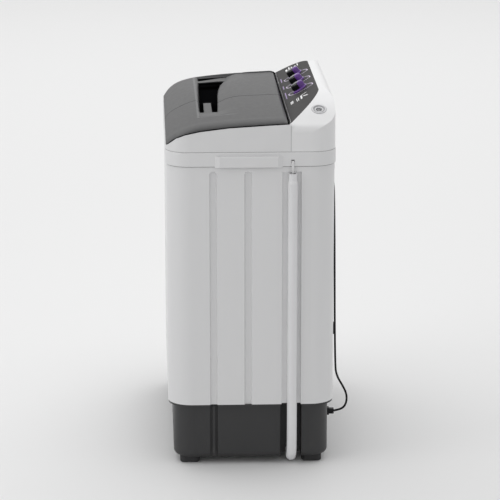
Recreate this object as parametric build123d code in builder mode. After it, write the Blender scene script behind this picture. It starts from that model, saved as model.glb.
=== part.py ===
"""Twin tub washing machine, in millimetres: a wash tub and a spin dryer side by side in one cabinet.

+X is to the right of a person facing the front, -Y is the front and +Z is up.
The origin is on the floor, under the middle of the machine."""
import math
import os

from build123d import *

os.makedirs("parts", exist_ok=True)

# Cabinet sizes, from the floor up
rim_width = 880
rim_depth = 474
rim_corner = 68
base_low = 20
base_top = 181
band_low = 866
rim_top = 905
body_inset = 3
body_draft = 0.5
base_inset = 15
base_corner = 54
wall = 3
floor_wall = 4
flange_wall = 6
contact_gap = 0.3
cut_past = 68

# Worked out from the cabinet sizes
body_half_x = rim_width / 2 - body_inset
body_half_y = rim_depth / 2 - body_inset
foot_half_x = body_half_x - body_draft
foot_half_y = body_half_y - body_draft
base_half_x = foot_half_x - base_inset
base_half_y = foot_half_y - base_inset
tray_floor = base_low + floor_wall

# Ribs and channels pressed into the side walls
groove_width = 22
groove_depth = 6
groove_taper = 25
groove_top = 852
front_groove_y = -105.5
middle_groove_y = -8.6
channel_y = 112
channel_width = 54
channel_depth = 12
channel_top = 850
base_groove_depth = 9
base_rib_width = 7
bay_width = 60
bay_depth = 50

# Feet
foot_x = 372
foot_y = 173
foot_size_x = 58
foot_size_y = 56
foot_corner = 14
foot_stud_radius = 9
foot_stud_height = 6

# Carry grips on the band
grip_front = -101
grip_back = 86
grip_low = 863
grip_high = 895
grip_stand = 8
grip_wall = 3
grip_end = 13

# Rear service cover
cover_width = 560
cover_low = 242
cover_high = 757
cover_set_in = 4
cover_lap = 16
cover_screw_radius = 4
cover_screw_head = 2
louvre_count = 9
louvre_width = 150
louvre_height = 5
louvre_pitch = 22
louvre_low = 309

# Deck and lids: the outline of the lids' edge and of their crown, as (y, z)
deck_half_x = 438
deck_half_y = 235.5
deck_corner = 66
deck_plate_low = 922
deck_plate_top = 926
deck_wall = 14
console_front = 109.4
split_line = [
    (-260, 910),
    (-235.5, 916),
    (-226.4, 925),
    (-207, 942.6),
    (-182, 953.3),
    (-141, 962.2),
    (-59, 972.1),
    (51, 978.8),
    (120, 982.8),
]
crown_line = [(-235.5, 865), (-235.5, 925), (-205, 957), (-150, 981.5), (-40, 991), (150, 1000)]
crown_radii = [34, 60, 120, 400]
crown_rise = 5
lid_roll = 22
lid_half_x = 436
lid_corner = 64
lid_wall = 3
lid_gap = 1.2
seam_x = 45
seam_gap = 2
hinge_y = 88
hinge_z = 979.8
lid_rear_radius = 17.2
hinge_room = 1

# Hinge pins, the ears on the deck that hold them and the lugs inside the lids
hinge_pin_radius = 3
hinge_ear_radius = 5
hinge_lug_width = 6
hinge_play = 0.5
running_gap = 0.05
wash_hinges = [(-405, 1), (8, -1)]
spin_hinges = [(82, 1), (405, -1)]
ear_reach = 30
ear_drop = 9

# Finger grip across both lids
scoop_front = -138
opening_back = -88
scoop_back = 40
scoop_depth = 15
scoop_left = -352
scoop_right = 290
wash_opening_left = -205
bridge_left = -252
side_opening_left = -343
spin_opening_right = 205
tongue_front = -124
tongue_back = -103
well_depth = 34
well_wall = 2

# Console
console_back = 235
console_ridge = 1048
panel_front_z = 982
panel_back_y = 200.2
hip_shoulder_z = 973
hip_top_x = 312
shoulder_radius = 25
hip_radius = 350
ridge_radius = 8
back_radius = 24
console_wall = 6
skirt_wall = 3
panel_wall = 3
panel_rim = 1
panel_back = 3
panel_ledge = 8

# Wash tub
wash_tub_left = -400
wash_tub_right = 5
wash_tub_front = -210
wash_tub_back = 150
wash_tub_corner = 40
wash_tub_low = 433
wash_open_left = -395
wash_open_right = 0
wash_open_front = -205
wash_open_back = 85
tub_wall = 3
tub_flange = 9
tub_bottom_radius = 18
overflow_width = 50
overflow_depth = 48
overflow_top = 860
lint_x = -290
lint_width = 96
lint_low = 608
lint_height = 196
lint_bag = 22
pulsator_y = -30
pulsator_radius = 165
pulsator_height = 34
pulsator_gap = 6
dome_share = 0.6
dome_half_share = 0.45
vane_ring_share = 0.47
vane_share = 0.82
vane_count = 3
vane_width = 30
hub_radius = 22

# Spin tub and basket
spin_x = 235
spin_y = -60
spin_tub_radius = 160
spin_tub_low = 443
spin_mouth_radius = 148
basket_radius = 138
basket_low = 472
basket_height = 396
basket_wall = 1.5
hole_rows = 5
holes_per_row = 14
drain_hole_radius = 4
hub_height = 30
ring_height = 26
ring_width = 14
spin_shaft_radius = 9
drum_radius = 60
drum_low = 309
drum_height = 44
bellows_seat = 34
spin_outlet_x = 300
spin_outlet_y = 40
spin_motor_radius = 76
spin_motor_low = 99
spin_motor_height = 150
boot_radius = 18
boot_waist_share = 0.7

# Brake on the spin motor, lid switch and capacitor
pivot_radius = 5
brake_pad = 5
brake_gap = 3
brake_pad_length = 34
brake_arm_width = 8
brake_arm_height = 14
brake_arm_back = 52
brake_arm_reach = 92
cable_radius = 3
switch_size = 20
switch_y = 96
capacitor_x = -300
capacitor_y = 60
capacitor_radius = 20
capacitor_height = 78

# Wash drive
wash_motor_y = 135
wash_motor_radius = 62
wash_motor_height = 76
gearbox_radius = 62
gearbox_height = 76
big_pulley_radius = 90
small_pulley_radius = 23
pulley_low = 307
pulley_height = 22
pulley_rim = 4
belt_width = 10
belt_thick = 5
bracket_low = 336
bracket_thick = 5
bracket_margin = 24
shaft_radius = 9
post_x = 56
post_y = 52
post_radius = 7
mount_height = 6
window_count = 5
window_ring_share = 0.56
window_share = 0.19

# Knobs and what they turn
knob_xs = [-170, -50, 70]
knob_slope = 58
knob_skirt_radius = 23
knob_skirt = 5
knob_height = 24
knob_length = 44
knob_width = 17
knob_shaft_radius = 3
timer_size = 56
timer_depth = 34
stem_depth = 16

# Drain: valve under the selector, pipes and the hose outlet
valve_x = -62
valve_y = 192
valve_radius = 30
valve_low = 299
valve_height = 96
rod_radius = 3
rod_top = 998
rod_stroke = 12
wash_port_z = 363
spin_port_z = 336
pipe_radius = 14
pipe_wall = 2
outlet_radius = 12
outlet_pipe_z = 62

# Water inlets on the console's hips
inlet_x = 370
inlet_y = 190
inlet_radius = 20
inlet_spigot_radius = 9
inlet_neck_radius = 15
inlet_neck = 42
inlet_rim = 1
inlet_lip = 1.5
dish_lip = 3
dish_depth = 5
spigot_drop = 1
trough_mouth_y = 92
trough_height = 16

# Drain hose, hung upright on the right-hand side
hose_radius = 14
hose_x = 441
hose_y = 114.3
cuff_low = 803
cuff_top = 845.5
cuff_neck_radius = 11.5
cuff_wall = 2
cuff_flare = 15
cuff_neck = 20
strap_width = 7
strap_thick = 2
strap_hole_z = 880

# Power cord
cord_radius = 3
cord_x = 245
cord_line_y = 238.6
gland_z = 101
gland_width = 24
gland_height = 21
gland_out = 246.5
hook_bend = 30
hook_z = 819
hook_out = 244
plug_neck = 16
plug_width = 34
plug_thick = 20
plug_neck_width_share = 0.6
plug_neck_thick_share = 0.8
plug_body = 30
plug_pin = 18
plug_pin_radius = 2.4
plug_pin_pitch = 19



def rounded_block(half_x, half_y, corner, low, high, mode=Mode.ADD, middle=(0, 0)):
    """Add or cut an upright block with rounded corners, between two heights."""
    with BuildSketch(Plane.XY.offset(low)) as plan:
        with Locations(middle):
            RectangleRounded(2 * half_x, 2 * half_y, corner)
    extrude(plan.sketch, amount=high - low, mode=mode)


def plain_block(low_corner, high_corner, mode=Mode.ADD):
    """Add or cut a block between two opposite corners."""
    sizes = [high - low for low, high in zip(low_corner, high_corner)]
    middle = tuple((low + high) / 2 for low, high in zip(low_corner, high_corner))
    with Locations(middle):
        Box(*sizes, mode=mode)


def upright(x, y, radius, low, high, mode=Mode.ADD):
    """Add or cut an upright cylinder between two heights."""
    with Locations((x, y, low)):
        Cylinder(radius, high - low, align=(Align.CENTER, Align.CENTER, Align.MIN), mode=mode)


def finish(piece, name):
    """Name a finished piece and write it out."""
    piece.label = name
    export_step(piece, f"parts/{name}.step")


def lengthways(section, amount=rim_width, mode=Mode.ADD):
    """Extrude a section drawn on the YZ plane to both sides of the machine's middle."""
    extrude(section, amount=amount, both=True, mode=mode)


# The side wall leans in towards its foot, and what is pressed into it follows
wall_height = band_low - base_top
side_wall = Plane(origin=(body_half_x, 0, band_low), x_dir=(0, 1, 0), z_dir=(wall_height, 0, -body_draft))
groove_half = groove_width / 2
channel_half = channel_width / 2
grooves_y = [front_groove_y, middle_groove_y]


def groove_cutter(extra):
    """The two round-topped grooves of one side wall, grown by extra for the wall behind them."""
    with BuildPart() as cutter:
        with BuildSketch(side_wall.offset(extra)) as outline:
            for y in grooves_y:
                with Locations((y, (groove_top - band_low - wall_height) / 2 - groove_half / 2)):
                    height = groove_top - groove_half - base_top + 2 * wall
                    Rectangle(groove_width + 2 * extra, height)
                with Locations((y, groove_top - band_low - groove_half)):
                    Circle(groove_half + extra)
        extrude(amount=-(groove_depth + 2 * extra), taper=groove_taper if extra == 0 else 0)
    return cutter.part


def channel_cutter(extra):
    """The square hose channel of the right-hand wall, grown by extra for the wall behind it."""
    with BuildPart() as cutter:
        plain_block(
            (body_half_x - channel_depth - extra, channel_y - channel_half - extra, base_top - 2 * wall),
            (body_half_x + 2 * wall, channel_y + channel_half + extra, channel_top + extra),
        )
    return cutter.part


# Cabinet shell: drafted walls under a straight rim band, open above and below
with BuildPart() as cabinet_shell:
    with BuildSketch(Plane.XY.offset(base_top)):
        RectangleRounded(2 * foot_half_x, 2 * foot_half_y, rim_corner)
    with BuildSketch(Plane.XY.offset(band_low)):
        RectangleRounded(2 * body_half_x, 2 * body_half_y, rim_corner)
    loft()
    rounded_block(rim_width / 2, rim_depth / 2, rim_corner, band_low, rim_top)
    band_edges = cabinet_shell.edges().group_by(Axis.Z)[-1]
    fillet(band_edges, 2)
    for cut in (groove_cutter(0), channel_cutter(0)):
        add(cut, mode=Mode.SUBTRACT)
    mirror(groove_cutter(0), about=Plane.YZ, mode=Mode.SUBTRACT)

with BuildPart() as cabinet_room:
    with BuildSketch(Plane.XY.offset(base_top)):
        RectangleRounded(2 * (foot_half_x - wall), 2 * (foot_half_y - wall), rim_corner - wall)
    with BuildSketch(Plane.XY.offset(rim_top)):
        RectangleRounded(2 * (body_half_x - wall), 2 * (body_half_y - wall), rim_corner - wall)
    loft()
    for keep in (groove_cutter(wall), channel_cutter(wall)):
        add(keep, mode=Mode.SUBTRACT)
    mirror(groove_cutter(wall), about=Plane.YZ, mode=Mode.SUBTRACT)

cover_half = cover_width / 2
cover_middle_z = (cover_low + cover_high) / 2
cover_y = foot_half_y - cover_set_in
strap_slot = (strap_width / 2 + 1, strap_thick / 2 + 1)
with cabinet_shell:
    add(cabinet_room.part, mode=Mode.SUBTRACT)
    # Rear opening with a set-in frame for the service cover
    plain_block(
        (-cover_half - cover_lap, cover_y - 2 * wall, cover_low - cover_lap),
        (cover_half + cover_lap, body_half_y - wall, cover_high + cover_lap),
    )
    with BuildSketch(Plane.XZ.offset(-cover_y + wall)) as recess:
        with Locations((0, cover_middle_z)):
            Rectangle(cover_width, cover_high - cover_low)
    extrude(recess.sketch, amount=-cut_past, mode=Mode.SUBTRACT)
    with BuildSketch(Plane.XZ.offset(-cover_y + 3 * wall)) as way_in:
        with Locations((0, cover_middle_z)):
            Rectangle(cover_width - 2 * cover_lap, cover_high - cover_low - 2 * cover_lap)
    extrude(way_in.sketch, amount=-cut_past, mode=Mode.SUBTRACT)
    # Slot for the hose strap
    plain_block(
        (body_half_x - 2 * wall, hose_y - strap_slot[0], strap_hole_z - 2 * strap_slot[1]),
        (rim_width, hose_y + strap_slot[0], strap_hole_z + 2 * strap_slot[1]),
        mode=Mode.SUBTRACT,
    )

# Base tray: a dark skirt with a floor, a lip under the cabinet, side grooves and the hose bay
bay_half = bay_width / 2
bay_floor_x = base_half_x - bay_depth
base_edge = 14


def base_cuts(extra):
    """The side grooves and the hose bay of the base, grown by extra for the wall behind them."""
    half = groove_half + extra
    with BuildPart() as cutter:
        for side in (-1, 1):
            inner = side * (base_half_x - base_groove_depth - extra)
            outer = side * (base_half_x + base_inset)
            low_x, high_x = sorted((inner, outer))
            near, far = front_groove_y - half, front_groove_y + half
            plain_block((low_x, near, base_low - 1), (high_x, far, base_top))
        plain_block(
            (bay_floor_x - extra, channel_y - bay_half - extra, base_low - 1),
            (base_half_x + base_inset, channel_y + bay_half + extra, base_top),
        )
    return cutter.part


with BuildPart() as base_tray:
    rounded_block(base_half_x, base_half_y, base_corner, base_low, base_top)
    fillet(base_tray.edges().group_by(Axis.Z)[0], base_edge)
    lip_corner = base_corner + base_inset - 1
    rounded_block(foot_half_x - 1, foot_half_y - 1, lip_corner, base_top - flange_wall, base_top)
    add(base_cuts(0), mode=Mode.SUBTRACT)

with BuildPart() as base_room:
    inner_x = base_half_x - wall
    inner_y = base_half_y - wall
    rounded_block(inner_x, inner_y, base_corner - wall, tray_floor, base_top)
    fillet(base_room.edges().group_by(Axis.Z)[0], base_edge - wall)
    add(base_cuts(wall), mode=Mode.SUBTRACT)

with base_tray:
    add(base_room.part, mode=Mode.SUBTRACT)
    # Rib in each side groove
    for side in (-1, 1):
        rib_ends = sorted((side * (base_half_x - base_groove_depth), side * base_half_x))
        rib_half = base_rib_width / 2
        plain_block(
            (rib_ends[0], front_groove_y - rib_half, base_low + base_edge),
            (rib_ends[1], front_groove_y + rib_half, base_top - flange_wall),
        )
    # Sockets for the feet
    with Locations(*[(x, y, base_low) for x in (-foot_x, foot_x) for y in (-foot_y, foot_y)]):
        Cylinder(foot_stud_radius + running_gap, 2 * floor_wall, mode=Mode.SUBTRACT)

# Rubber feet, each pushed into the floor with a stud
with BuildPart() as rubber_feet:
    for x in (-foot_x, foot_x):
        for y in (-foot_y, foot_y):
            rounded_block(foot_size_x / 2, foot_size_y / 2, foot_corner, 0, base_low, middle=(x, y))
            upright(x, y, foot_stud_radius, base_low, tray_floor + foot_stud_height)
    fillet(rubber_feet.edges().group_by(Axis.Z)[0], 4)
finish(rubber_feet.part, "rubber_feet")

# Carry grips: a plate with sloped ends that stands off the band, hollow behind for fingers
with BuildPart() as carry_grips:
    with BuildSketch(Plane.XY.offset(grip_low)) as grip_plan:
        with BuildLine():
            Polyline(
                (rim_width / 2, grip_front),
                (rim_width / 2 + grip_stand, grip_front + grip_end),
                (rim_width / 2 + grip_stand, grip_back - grip_end),
                (rim_width / 2, grip_back),
                close=True,
            )
        make_face()
    extrude(amount=grip_high - grip_low)
    grip_front_edges = carry_grips.edges().filter_by(Axis.Y).group_by(Axis.X)[-1]
    fillet(grip_front_edges, 3)
    pocket_front = grip_front + grip_end + grip_wall
    pocket_back = grip_back - grip_end - grip_wall
    plain_block(
        (rim_width / 2 - 1, pocket_front, grip_low - 1),
        (rim_width / 2 + grip_stand - grip_wall, pocket_back, grip_high - 2 * grip_wall),
        mode=Mode.SUBTRACT,
    )
    mirror(about=Plane.YZ)
finish(carry_grips.part, "carry_grips")

# Rear service cover with louvres and its screws
cover_plane = Plane(origin=(0, cover_y, cover_middle_z), x_dir=(-1, 0, 0), z_dir=(0, 1, 0))
cover_height = cover_high - cover_low
with BuildPart() as rear_cover:
    with BuildSketch(cover_plane.offset(-wall)):
        Rectangle(cover_width - 2 * contact_gap, cover_height - 2 * contact_gap)
    extrude(amount=wall)
    with BuildSketch(cover_plane):
        for side in (-1, 1):
            for row in range(louvre_count):
                up = louvre_low - cover_middle_z + row * louvre_pitch
                with Locations((side * cover_width / 4, up)):
                    SlotOverall(louvre_width, louvre_height)
    extrude(amount=-2 * wall, mode=Mode.SUBTRACT)
    screw_places = [
        (side * (cover_half - cover_lap / 2), level * (cover_height / 2 - cover_lap / 2))
        for side in (-1, 1)
        for level in (-1, 0, 1)
    ]
    with BuildSketch(cover_plane):
        with Locations(*screw_places):
            Circle(cover_screw_radius / 2 + running_gap)
    extrude(amount=-2 * wall, mode=Mode.SUBTRACT)
finish(rear_cover.part, "rear_cover")

with cabinet_shell:
    with BuildSketch(cover_plane) as screw_holes:
        with Locations(*screw_places):
            Circle(cover_screw_radius / 2 + running_gap)
    extrude(screw_holes.sketch, amount=-4 * wall, mode=Mode.SUBTRACT)
finish(cabinet_shell.part, "cabinet_shell")

with BuildPart() as cover_screws:
    with BuildSketch(cover_plane):
        with Locations(*screw_places):
            Circle(cover_screw_radius)
    extrude(amount=cover_screw_head)
    with BuildSketch(cover_plane):
        with Locations(*screw_places):
            Circle(cover_screw_radius / 2)
    extrude(amount=-(2 * wall + 1))
finish(cover_screws.part, "cover_screws")


def profile_cut(line, lift, low_z):
    """Region below a (y, z) line raised by lift, as a closed outline down to low_z."""
    points = [(y, z + lift) for y, z in line]
    return points + [(points[-1][0], low_z), (points[0][0], low_z)]


def crown_path():
    """The lids' middle line from the front edge to the rear, in the YZ plane."""
    with BuildLine(Plane.YZ) as path:
        FilletPolyline(*crown_line, radius=crown_radii)
    return path.wires()[0]


def lid_block(low_x, high_x, inset):
    """The solid under the lids' outer surface, drawn in by inset on every side but the lower one."""
    half = lid_half_x - inset
    edge = lid_roll - inset
    side = half - edge
    drop = crown_rise + inset
    over_crown = deck_half_y - console_front
    with BuildPart() as block:
        rounded_block(half, deck_half_y - inset, lid_corner - inset, band_low, crown_line[-1][1])
        with BuildSketch(Plane(origin=(0, *crown_line[0]), x_dir=(1, 0, 0), z_dir=(0, 0, 1))) as over:
            with BuildLine():
                Polyline(
                    (half, edge + drop),
                    (rim_width, edge + drop),
                    (rim_width, -over_crown),
                    (-rim_width, -over_crown),
                )
                Polyline((-rim_width, -over_crown), (-rim_width, edge + drop), (-half, edge + drop))
                RadiusArc((-half, edge + drop), (-side, drop), -edge)
                ThreePointArc((-side, drop), (0, inset), (side, drop))
                RadiusArc((side, drop), (half, edge + drop), -edge)
            make_face()
        sweep(sections=over.sketch, path=crown_path(), mode=Mode.SUBTRACT)
        with BuildSketch(Plane.YZ) as behind:
            with Locations((hinge_y + rim_depth / 2, hinge_z)):
                Rectangle(rim_depth, rim_width)
            with Locations((hinge_y, hinge_z)):
                Circle(lid_rear_radius - inset, mode=Mode.SUBTRACT)
        lengthways(behind.sketch, mode=Mode.SUBTRACT)
        plain_block((low_x, -rim_depth, 0), (high_x, rim_depth, 2 * console_ridge), mode=Mode.INTERSECT)
    return block.part


def crown_z(y):
    """Height of the crown line at a given y, between its corners."""
    for (y0, z0), (y1, z1) in zip(crown_line[1:], crown_line[2:]):
        if y0 <= y <= y1:
            return z0 + (z1 - z0) * (y - y0) / (y1 - y0)
    raise ValueError("y is off the lids")


# The scoop behind the lids' front lip, as a wedge between the lip and the crown behind it
scoop_low = crown_z(opening_back) - scoop_depth


def scoop_block(low_x, high_x, inset):
    """The wedge cut out of the crown for the fingers, grown by inset."""
    slope = (crown_z(scoop_back) - scoop_low) / (scoop_back - opening_back)
    past = scoop_back + cut_past
    above = console_ridge + cut_past
    with BuildPart() as scoop:
        with BuildSketch(Plane.YZ.offset(low_x - inset)) as wedge:
            with BuildLine():
                Polyline(
                    (scoop_front - inset, scoop_low - inset),
                    (opening_back, scoop_low - inset),
                    (past, scoop_low - inset + slope * (past - opening_back)),
                    (past, above),
                    (scoop_front - inset, above),
                    close=True,
                )
            make_face()
        extrude(amount=high_x - low_x + 2 * inset)
    return scoop.part


def lid_shell(low_x, high_x, hinges, slots):
    """One lid: a crowned shell with its scoop, finger slots and hinge lugs."""
    inner = lid_block(low_x + lid_wall, high_x - lid_wall, lid_wall)
    inner = inner - scoop_block(scoop_left, scoop_right, lid_wall)
    with BuildPart() as lid:
        add(lid_block(low_x, high_x, 0))
        add(scoop_block(scoop_left, scoop_right, 0), mode=Mode.SUBTRACT)
        add(inner, mode=Mode.SUBTRACT)
        with BuildSketch(Plane.YZ) as under:
            with BuildLine():
                Polyline(*profile_cut(split_line, lid_gap, 0), close=True)
            make_face()
        lengthways(under.sketch, mode=Mode.SUBTRACT)
        for left, right, front, back in slots:
            plain_block((left, front, scoop_low - well_depth), (right, back, console_ridge), mode=Mode.SUBTRACT)
        for ear_x, toward in hinges:
            start = ear_x + toward * (hinge_lug_width / 2 + hinge_play)
            with BuildSketch(Plane.YZ.offset(start)) as lug:
                with Locations((hinge_y, hinge_z)):
                    Circle(hinge_ear_radius + 2)
                    with Locations((0, (lid_rear_radius - lid_wall) / 2)):
                        Rectangle(2 * hinge_ear_radius + 4, lid_rear_radius - lid_wall + 1)
                    Circle(hinge_pin_radius + running_gap, mode=Mode.SUBTRACT)
            extrude(lug.sketch, amount=toward * hinge_lug_width)
            add(lid_block(low_x, high_x, 0), mode=Mode.INTERSECT)
    return lid.part


wash_low_x = -lid_half_x
wash_high_x = seam_x - seam_gap / 2
spin_low_x = seam_x + seam_gap / 2
wash_slots = [
    (wash_opening_left, wash_high_x - lid_wall, scoop_front, opening_back),
    (side_opening_left, bridge_left, scoop_front, opening_back),
]
spin_slots = [
    (spin_low_x + lid_wall, spin_opening_right, scoop_front, tongue_front),
    (spin_low_x + lid_wall, spin_opening_right, tongue_back, opening_back),
]
with BuildPart() as wash_lid:
    add(lid_shell(wash_low_x, wash_high_x, wash_hinges, wash_slots))
finish(wash_lid.part, "wash_lid")

with BuildPart() as spin_lid:
    add(lid_shell(spin_low_x, lid_half_x, spin_hinges, spin_slots))
finish(spin_lid.part, "spin_lid")


def lid_well(left, right):
    """A dark tray under the finger slots of one lid, open above."""
    top = scoop_low - lid_wall
    outer = ((left, scoop_front, top - well_depth), (right, opening_back, top))
    with BuildPart() as well:
        plain_block(*outer)
        plain_block(
            (left + well_wall, scoop_front + well_wall, top - well_depth + well_wall),
            (right - well_wall, opening_back - well_wall, top),
            mode=Mode.SUBTRACT,
        )
    return well.part


with BuildPart() as wash_lid_well:
    add(lid_well(side_opening_left - well_wall, wash_high_x - lid_wall))
finish(wash_lid_well.part, "wash_lid_well")

with BuildPart() as spin_lid_well:
    add(lid_well(spin_low_x + lid_wall, spin_opening_right + well_wall))
finish(spin_lid_well.part, "spin_lid_well")

# Top deck: a rim that follows the lids' edge, a plate with the tubs' mouths and the hinge ears.
# Behind the console's front the deck is smaller, and the console's skirt covers its edge.
skirt = skirt_wall + contact_gap
hollow = skirt + wall
rear_room = (console_front + rim_depth) / 2
with BuildPart() as top_deck:
    rounded_block(deck_half_x, deck_half_y, deck_corner, rim_top, console_ridge)
    with BuildSketch(Plane.YZ) as above_split:
        with BuildLine():
            Polyline(*profile_cut(split_line, 0, 2 * console_ridge), close=True)
        make_face()
    lengthways(above_split.sketch, mode=Mode.SUBTRACT)
    plain_block((-rim_width, console_front, 0), (rim_width, rim_depth, 2 * console_ridge), mode=Mode.SUBTRACT)
    with BuildSketch(Plane.XY.offset(rim_top)) as under_console:
        RectangleRounded(2 * (deck_half_x - skirt), 2 * (deck_half_y - skirt), deck_corner - skirt)
        with Locations((0, console_front - rim_depth / 2)):
            Rectangle(rim_width, rim_depth, mode=Mode.SUBTRACT)
    extrude(under_console.sketch, amount=deck_plate_top - rim_top)
    pocket_half_y = rear_room / 2 + deck_half_y
    with BuildSketch(Plane.XY.offset(deck_plate_top)) as pocket:
        with Locations((0, pocket_half_y - deck_half_y + deck_wall)):
            RectangleRounded(2 * (deck_half_x - deck_wall), 2 * pocket_half_y, deck_corner - deck_wall)
    extrude(pocket.sketch, amount=console_ridge - deck_plate_top, mode=Mode.SUBTRACT)
    with BuildSketch(Plane.YZ) as hinge_groove:
        with Locations((hinge_y, hinge_z)):
            Circle(lid_rear_radius + hinge_room)
    extrude(hinge_groove.sketch, amount=lid_half_x + hinge_room, both=True, mode=Mode.SUBTRACT)
    # Hollow below the plate and inside the raised rim
    rounded_block(
        deck_half_x - hollow, deck_half_y - hollow, deck_corner - hollow, rim_top, deck_plate_low, Mode.SUBTRACT
    )
    # Mouths of the two tubs
    mouth_x = (wash_open_left + wash_open_right) / 2
    mouth_y = (wash_open_front + wash_open_back) / 2
    mouth_half = ((wash_open_right - wash_open_left) / 2, (wash_open_back - wash_open_front) / 2)
    rounded_block(*mouth_half, wash_tub_corner, rim_top, console_ridge, Mode.SUBTRACT, (mouth_x, mouth_y))
    upright(spin_x, spin_y, spin_mouth_radius, rim_top, console_ridge, Mode.SUBTRACT)
    # Hinge ears rise from the plate in front of the hinge line and reach back to it
    for ear_x, toward in wash_hinges + spin_hinges:
        ear_y = hinge_y - ear_reach
        with BuildSketch(Plane.YZ.offset(ear_x - hinge_lug_width / 2)) as ear:
            with Locations((hinge_y, hinge_z), (ear_y, hinge_z - ear_drop)):
                Circle(hinge_ear_radius)
            make_hull()
            with Locations((ear_y, (hinge_z - ear_drop + deck_plate_low) / 2)):
                Rectangle(2 * hinge_ear_radius, hinge_z - ear_drop - deck_plate_low)
            with Locations((hinge_y, hinge_z)):
                Circle(hinge_pin_radius, mode=Mode.SUBTRACT)
        extrude(ear.sketch, amount=hinge_lug_width)
    # Way for the drain valve's rod
    upright(valve_x, valve_y, rod_radius + contact_gap, deck_plate_low, deck_plate_top, Mode.SUBTRACT)
finish(top_deck.part, "top_deck")

with BuildPart() as hinge_pins:
    for ear_x, toward in wash_hinges + spin_hinges:
        with BuildSketch(Plane.YZ.offset(ear_x - toward * (hinge_lug_width / 2 + 1))) as pin_end:
            with Locations((hinge_y, hinge_z)):
                Circle(hinge_pin_radius)
        extrude(pin_end.sketch, amount=toward * (2 * hinge_lug_width + hinge_play + 2))
finish(hinge_pins.part, "hinge_pins")

# Console: the slope seen from the side, crossed with the round top seen from the front
hip_slope = math.atan2(console_ridge - hip_shoulder_z, deck_half_x - hip_top_x)
hip_start_x = hip_top_x - hip_radius * math.tan(hip_slope / 2)


def hip_surface(x):
    """Height and tilt of the console's top at x, on the hip's round or on its straight part."""
    reach = x - hip_start_x
    if reach < hip_radius * math.sin(hip_slope):
        tilt = math.asin(reach / hip_radius)
        return console_ridge - hip_radius * (1 - math.cos(tilt)), tilt
    return hip_shoulder_z + (deck_half_x - x) * math.tan(hip_slope), hip_slope


def front_profile(inset):
    """The console seen from the front, drawn in by inset."""
    foot = rim_top - 2 * inset
    with BuildSketch(Plane.XZ) as front_view:
        with BuildLine():
            FilletPolyline(
                (deck_half_x, foot),
                (deck_half_x, hip_shoulder_z),
                (hip_top_x, console_ridge),
                (-hip_top_x, console_ridge),
                (-deck_half_x, hip_shoulder_z),
                (-deck_half_x, foot),
                radius=[shoulder_radius, hip_radius, hip_radius, shoulder_radius],
            )
            Line((-deck_half_x, foot), (deck_half_x, foot))
        make_face()
        if inset:
            offset(amount=-inset, kind=Kind.INTERSECTION)
    return front_view.sketch


def side_profile(inset):
    """The console seen from the side, drawn in by inset."""
    foot = rim_top - 2 * inset
    with BuildSketch(Plane.YZ) as side_view:
        with BuildLine():
            FilletPolyline(
                (console_front, foot),
                (console_front, panel_front_z),
                (panel_back_y, console_ridge),
                (console_back, console_ridge),
                (console_back, foot),
                radius=[contact_gap, ridge_radius, back_radius],
            )
            Line((console_back, foot), (console_front, foot))
        make_face()
        if inset:
            offset(amount=-inset, kind=Kind.INTERSECTION)
    return side_view.sketch


def console_block(inset):
    """The console's outer form, drawn in by inset."""
    with BuildPart() as block:
        lengthways(side_profile(inset))
        extrude(front_profile(inset), amount=rim_depth, both=True, mode=Mode.INTERSECT)
        rounded_block(
            deck_half_x - inset, deck_half_y - inset, deck_corner - inset, 0, 2 * console_ridge, Mode.INTERSECT
        )
    return block.part


slope_run = panel_back_y - console_front
slope_rise = console_ridge - panel_front_z
slope_length = math.hypot(slope_run, slope_rise)
panel_plane = Plane(
    origin=(0, console_front, panel_front_z), x_dir=(1, 0, 0), z_dir=(0, -slope_rise, slope_run)
)


def panel_slab(edge, depth):
    """A slab under the console's slope, drawn in by edge from the console's own outline."""
    with BuildPart() as slab:
        extrude(front_profile(edge), amount=rim_depth, both=True)
        with BuildSketch(panel_plane) as slope:
            with Locations((0, (slope_length - panel_back) / 2)):
                Rectangle(2 * deck_half_x, slope_length - panel_back - 2 * edge)
        extrude(slope.sketch, amount=-depth, mode=Mode.INTERSECT)
    return slab.part


with BuildPart() as console_housing:
    add(console_block(0))
    add(console_block(console_wall), mode=Mode.SUBTRACT)
    add(panel_slab(panel_rim - contact_gap, panel_wall), mode=Mode.SUBTRACT)
    add(panel_slab(panel_rim + panel_ledge, 2 * console_wall), mode=Mode.SUBTRACT)
    # Only the skirt reaches below the deck's plate
    rounded_block(
        deck_half_x - skirt_wall,
        deck_half_y - skirt_wall,
        deck_corner - skirt_wall,
        rim_top - 1,
        deck_plate_top,
        Mode.SUBTRACT,
    )

with BuildPart() as control_panel:
    add(panel_slab(panel_rim, panel_wall))
    with BuildSketch(panel_plane) as stem_ways:
        with Locations(*[(x, knob_slope) for x in knob_xs]):
            Circle(2 * knob_shaft_radius)
    extrude(stem_ways.sketch, amount=-2 * panel_wall, mode=Mode.SUBTRACT)
finish(control_panel.part, "control_panel")

# Wash tub: a rounded box hung by its flange under the deck, with holes for the shaft and the outlet
wash_tub_x = (wash_tub_left + wash_tub_right) / 2
wash_tub_y = (wash_tub_front + wash_tub_back) / 2
wash_half_x = (wash_tub_right - wash_tub_left) / 2
wash_half_y = (wash_tub_back - wash_tub_front) / 2
wash_middle = (wash_tub_x, wash_tub_y)
wash_outlet_y = wash_tub_back - 2 * outlet_radius
tub_top = deck_plate_low
wash_tub_under = wash_tub_low - tub_wall


def wash_tub_form(extra, low):
    """The wash tub's form, grown sideways by extra, from low to its top."""
    with BuildPart() as form:
        rounded_block(
            wash_half_x + extra, wash_half_y + extra, wash_tub_corner + extra, low, tub_top, middle=wash_middle
        )
        fillet(form.edges().group_by(Axis.Z)[0], tub_bottom_radius + extra)
    return form.part


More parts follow.
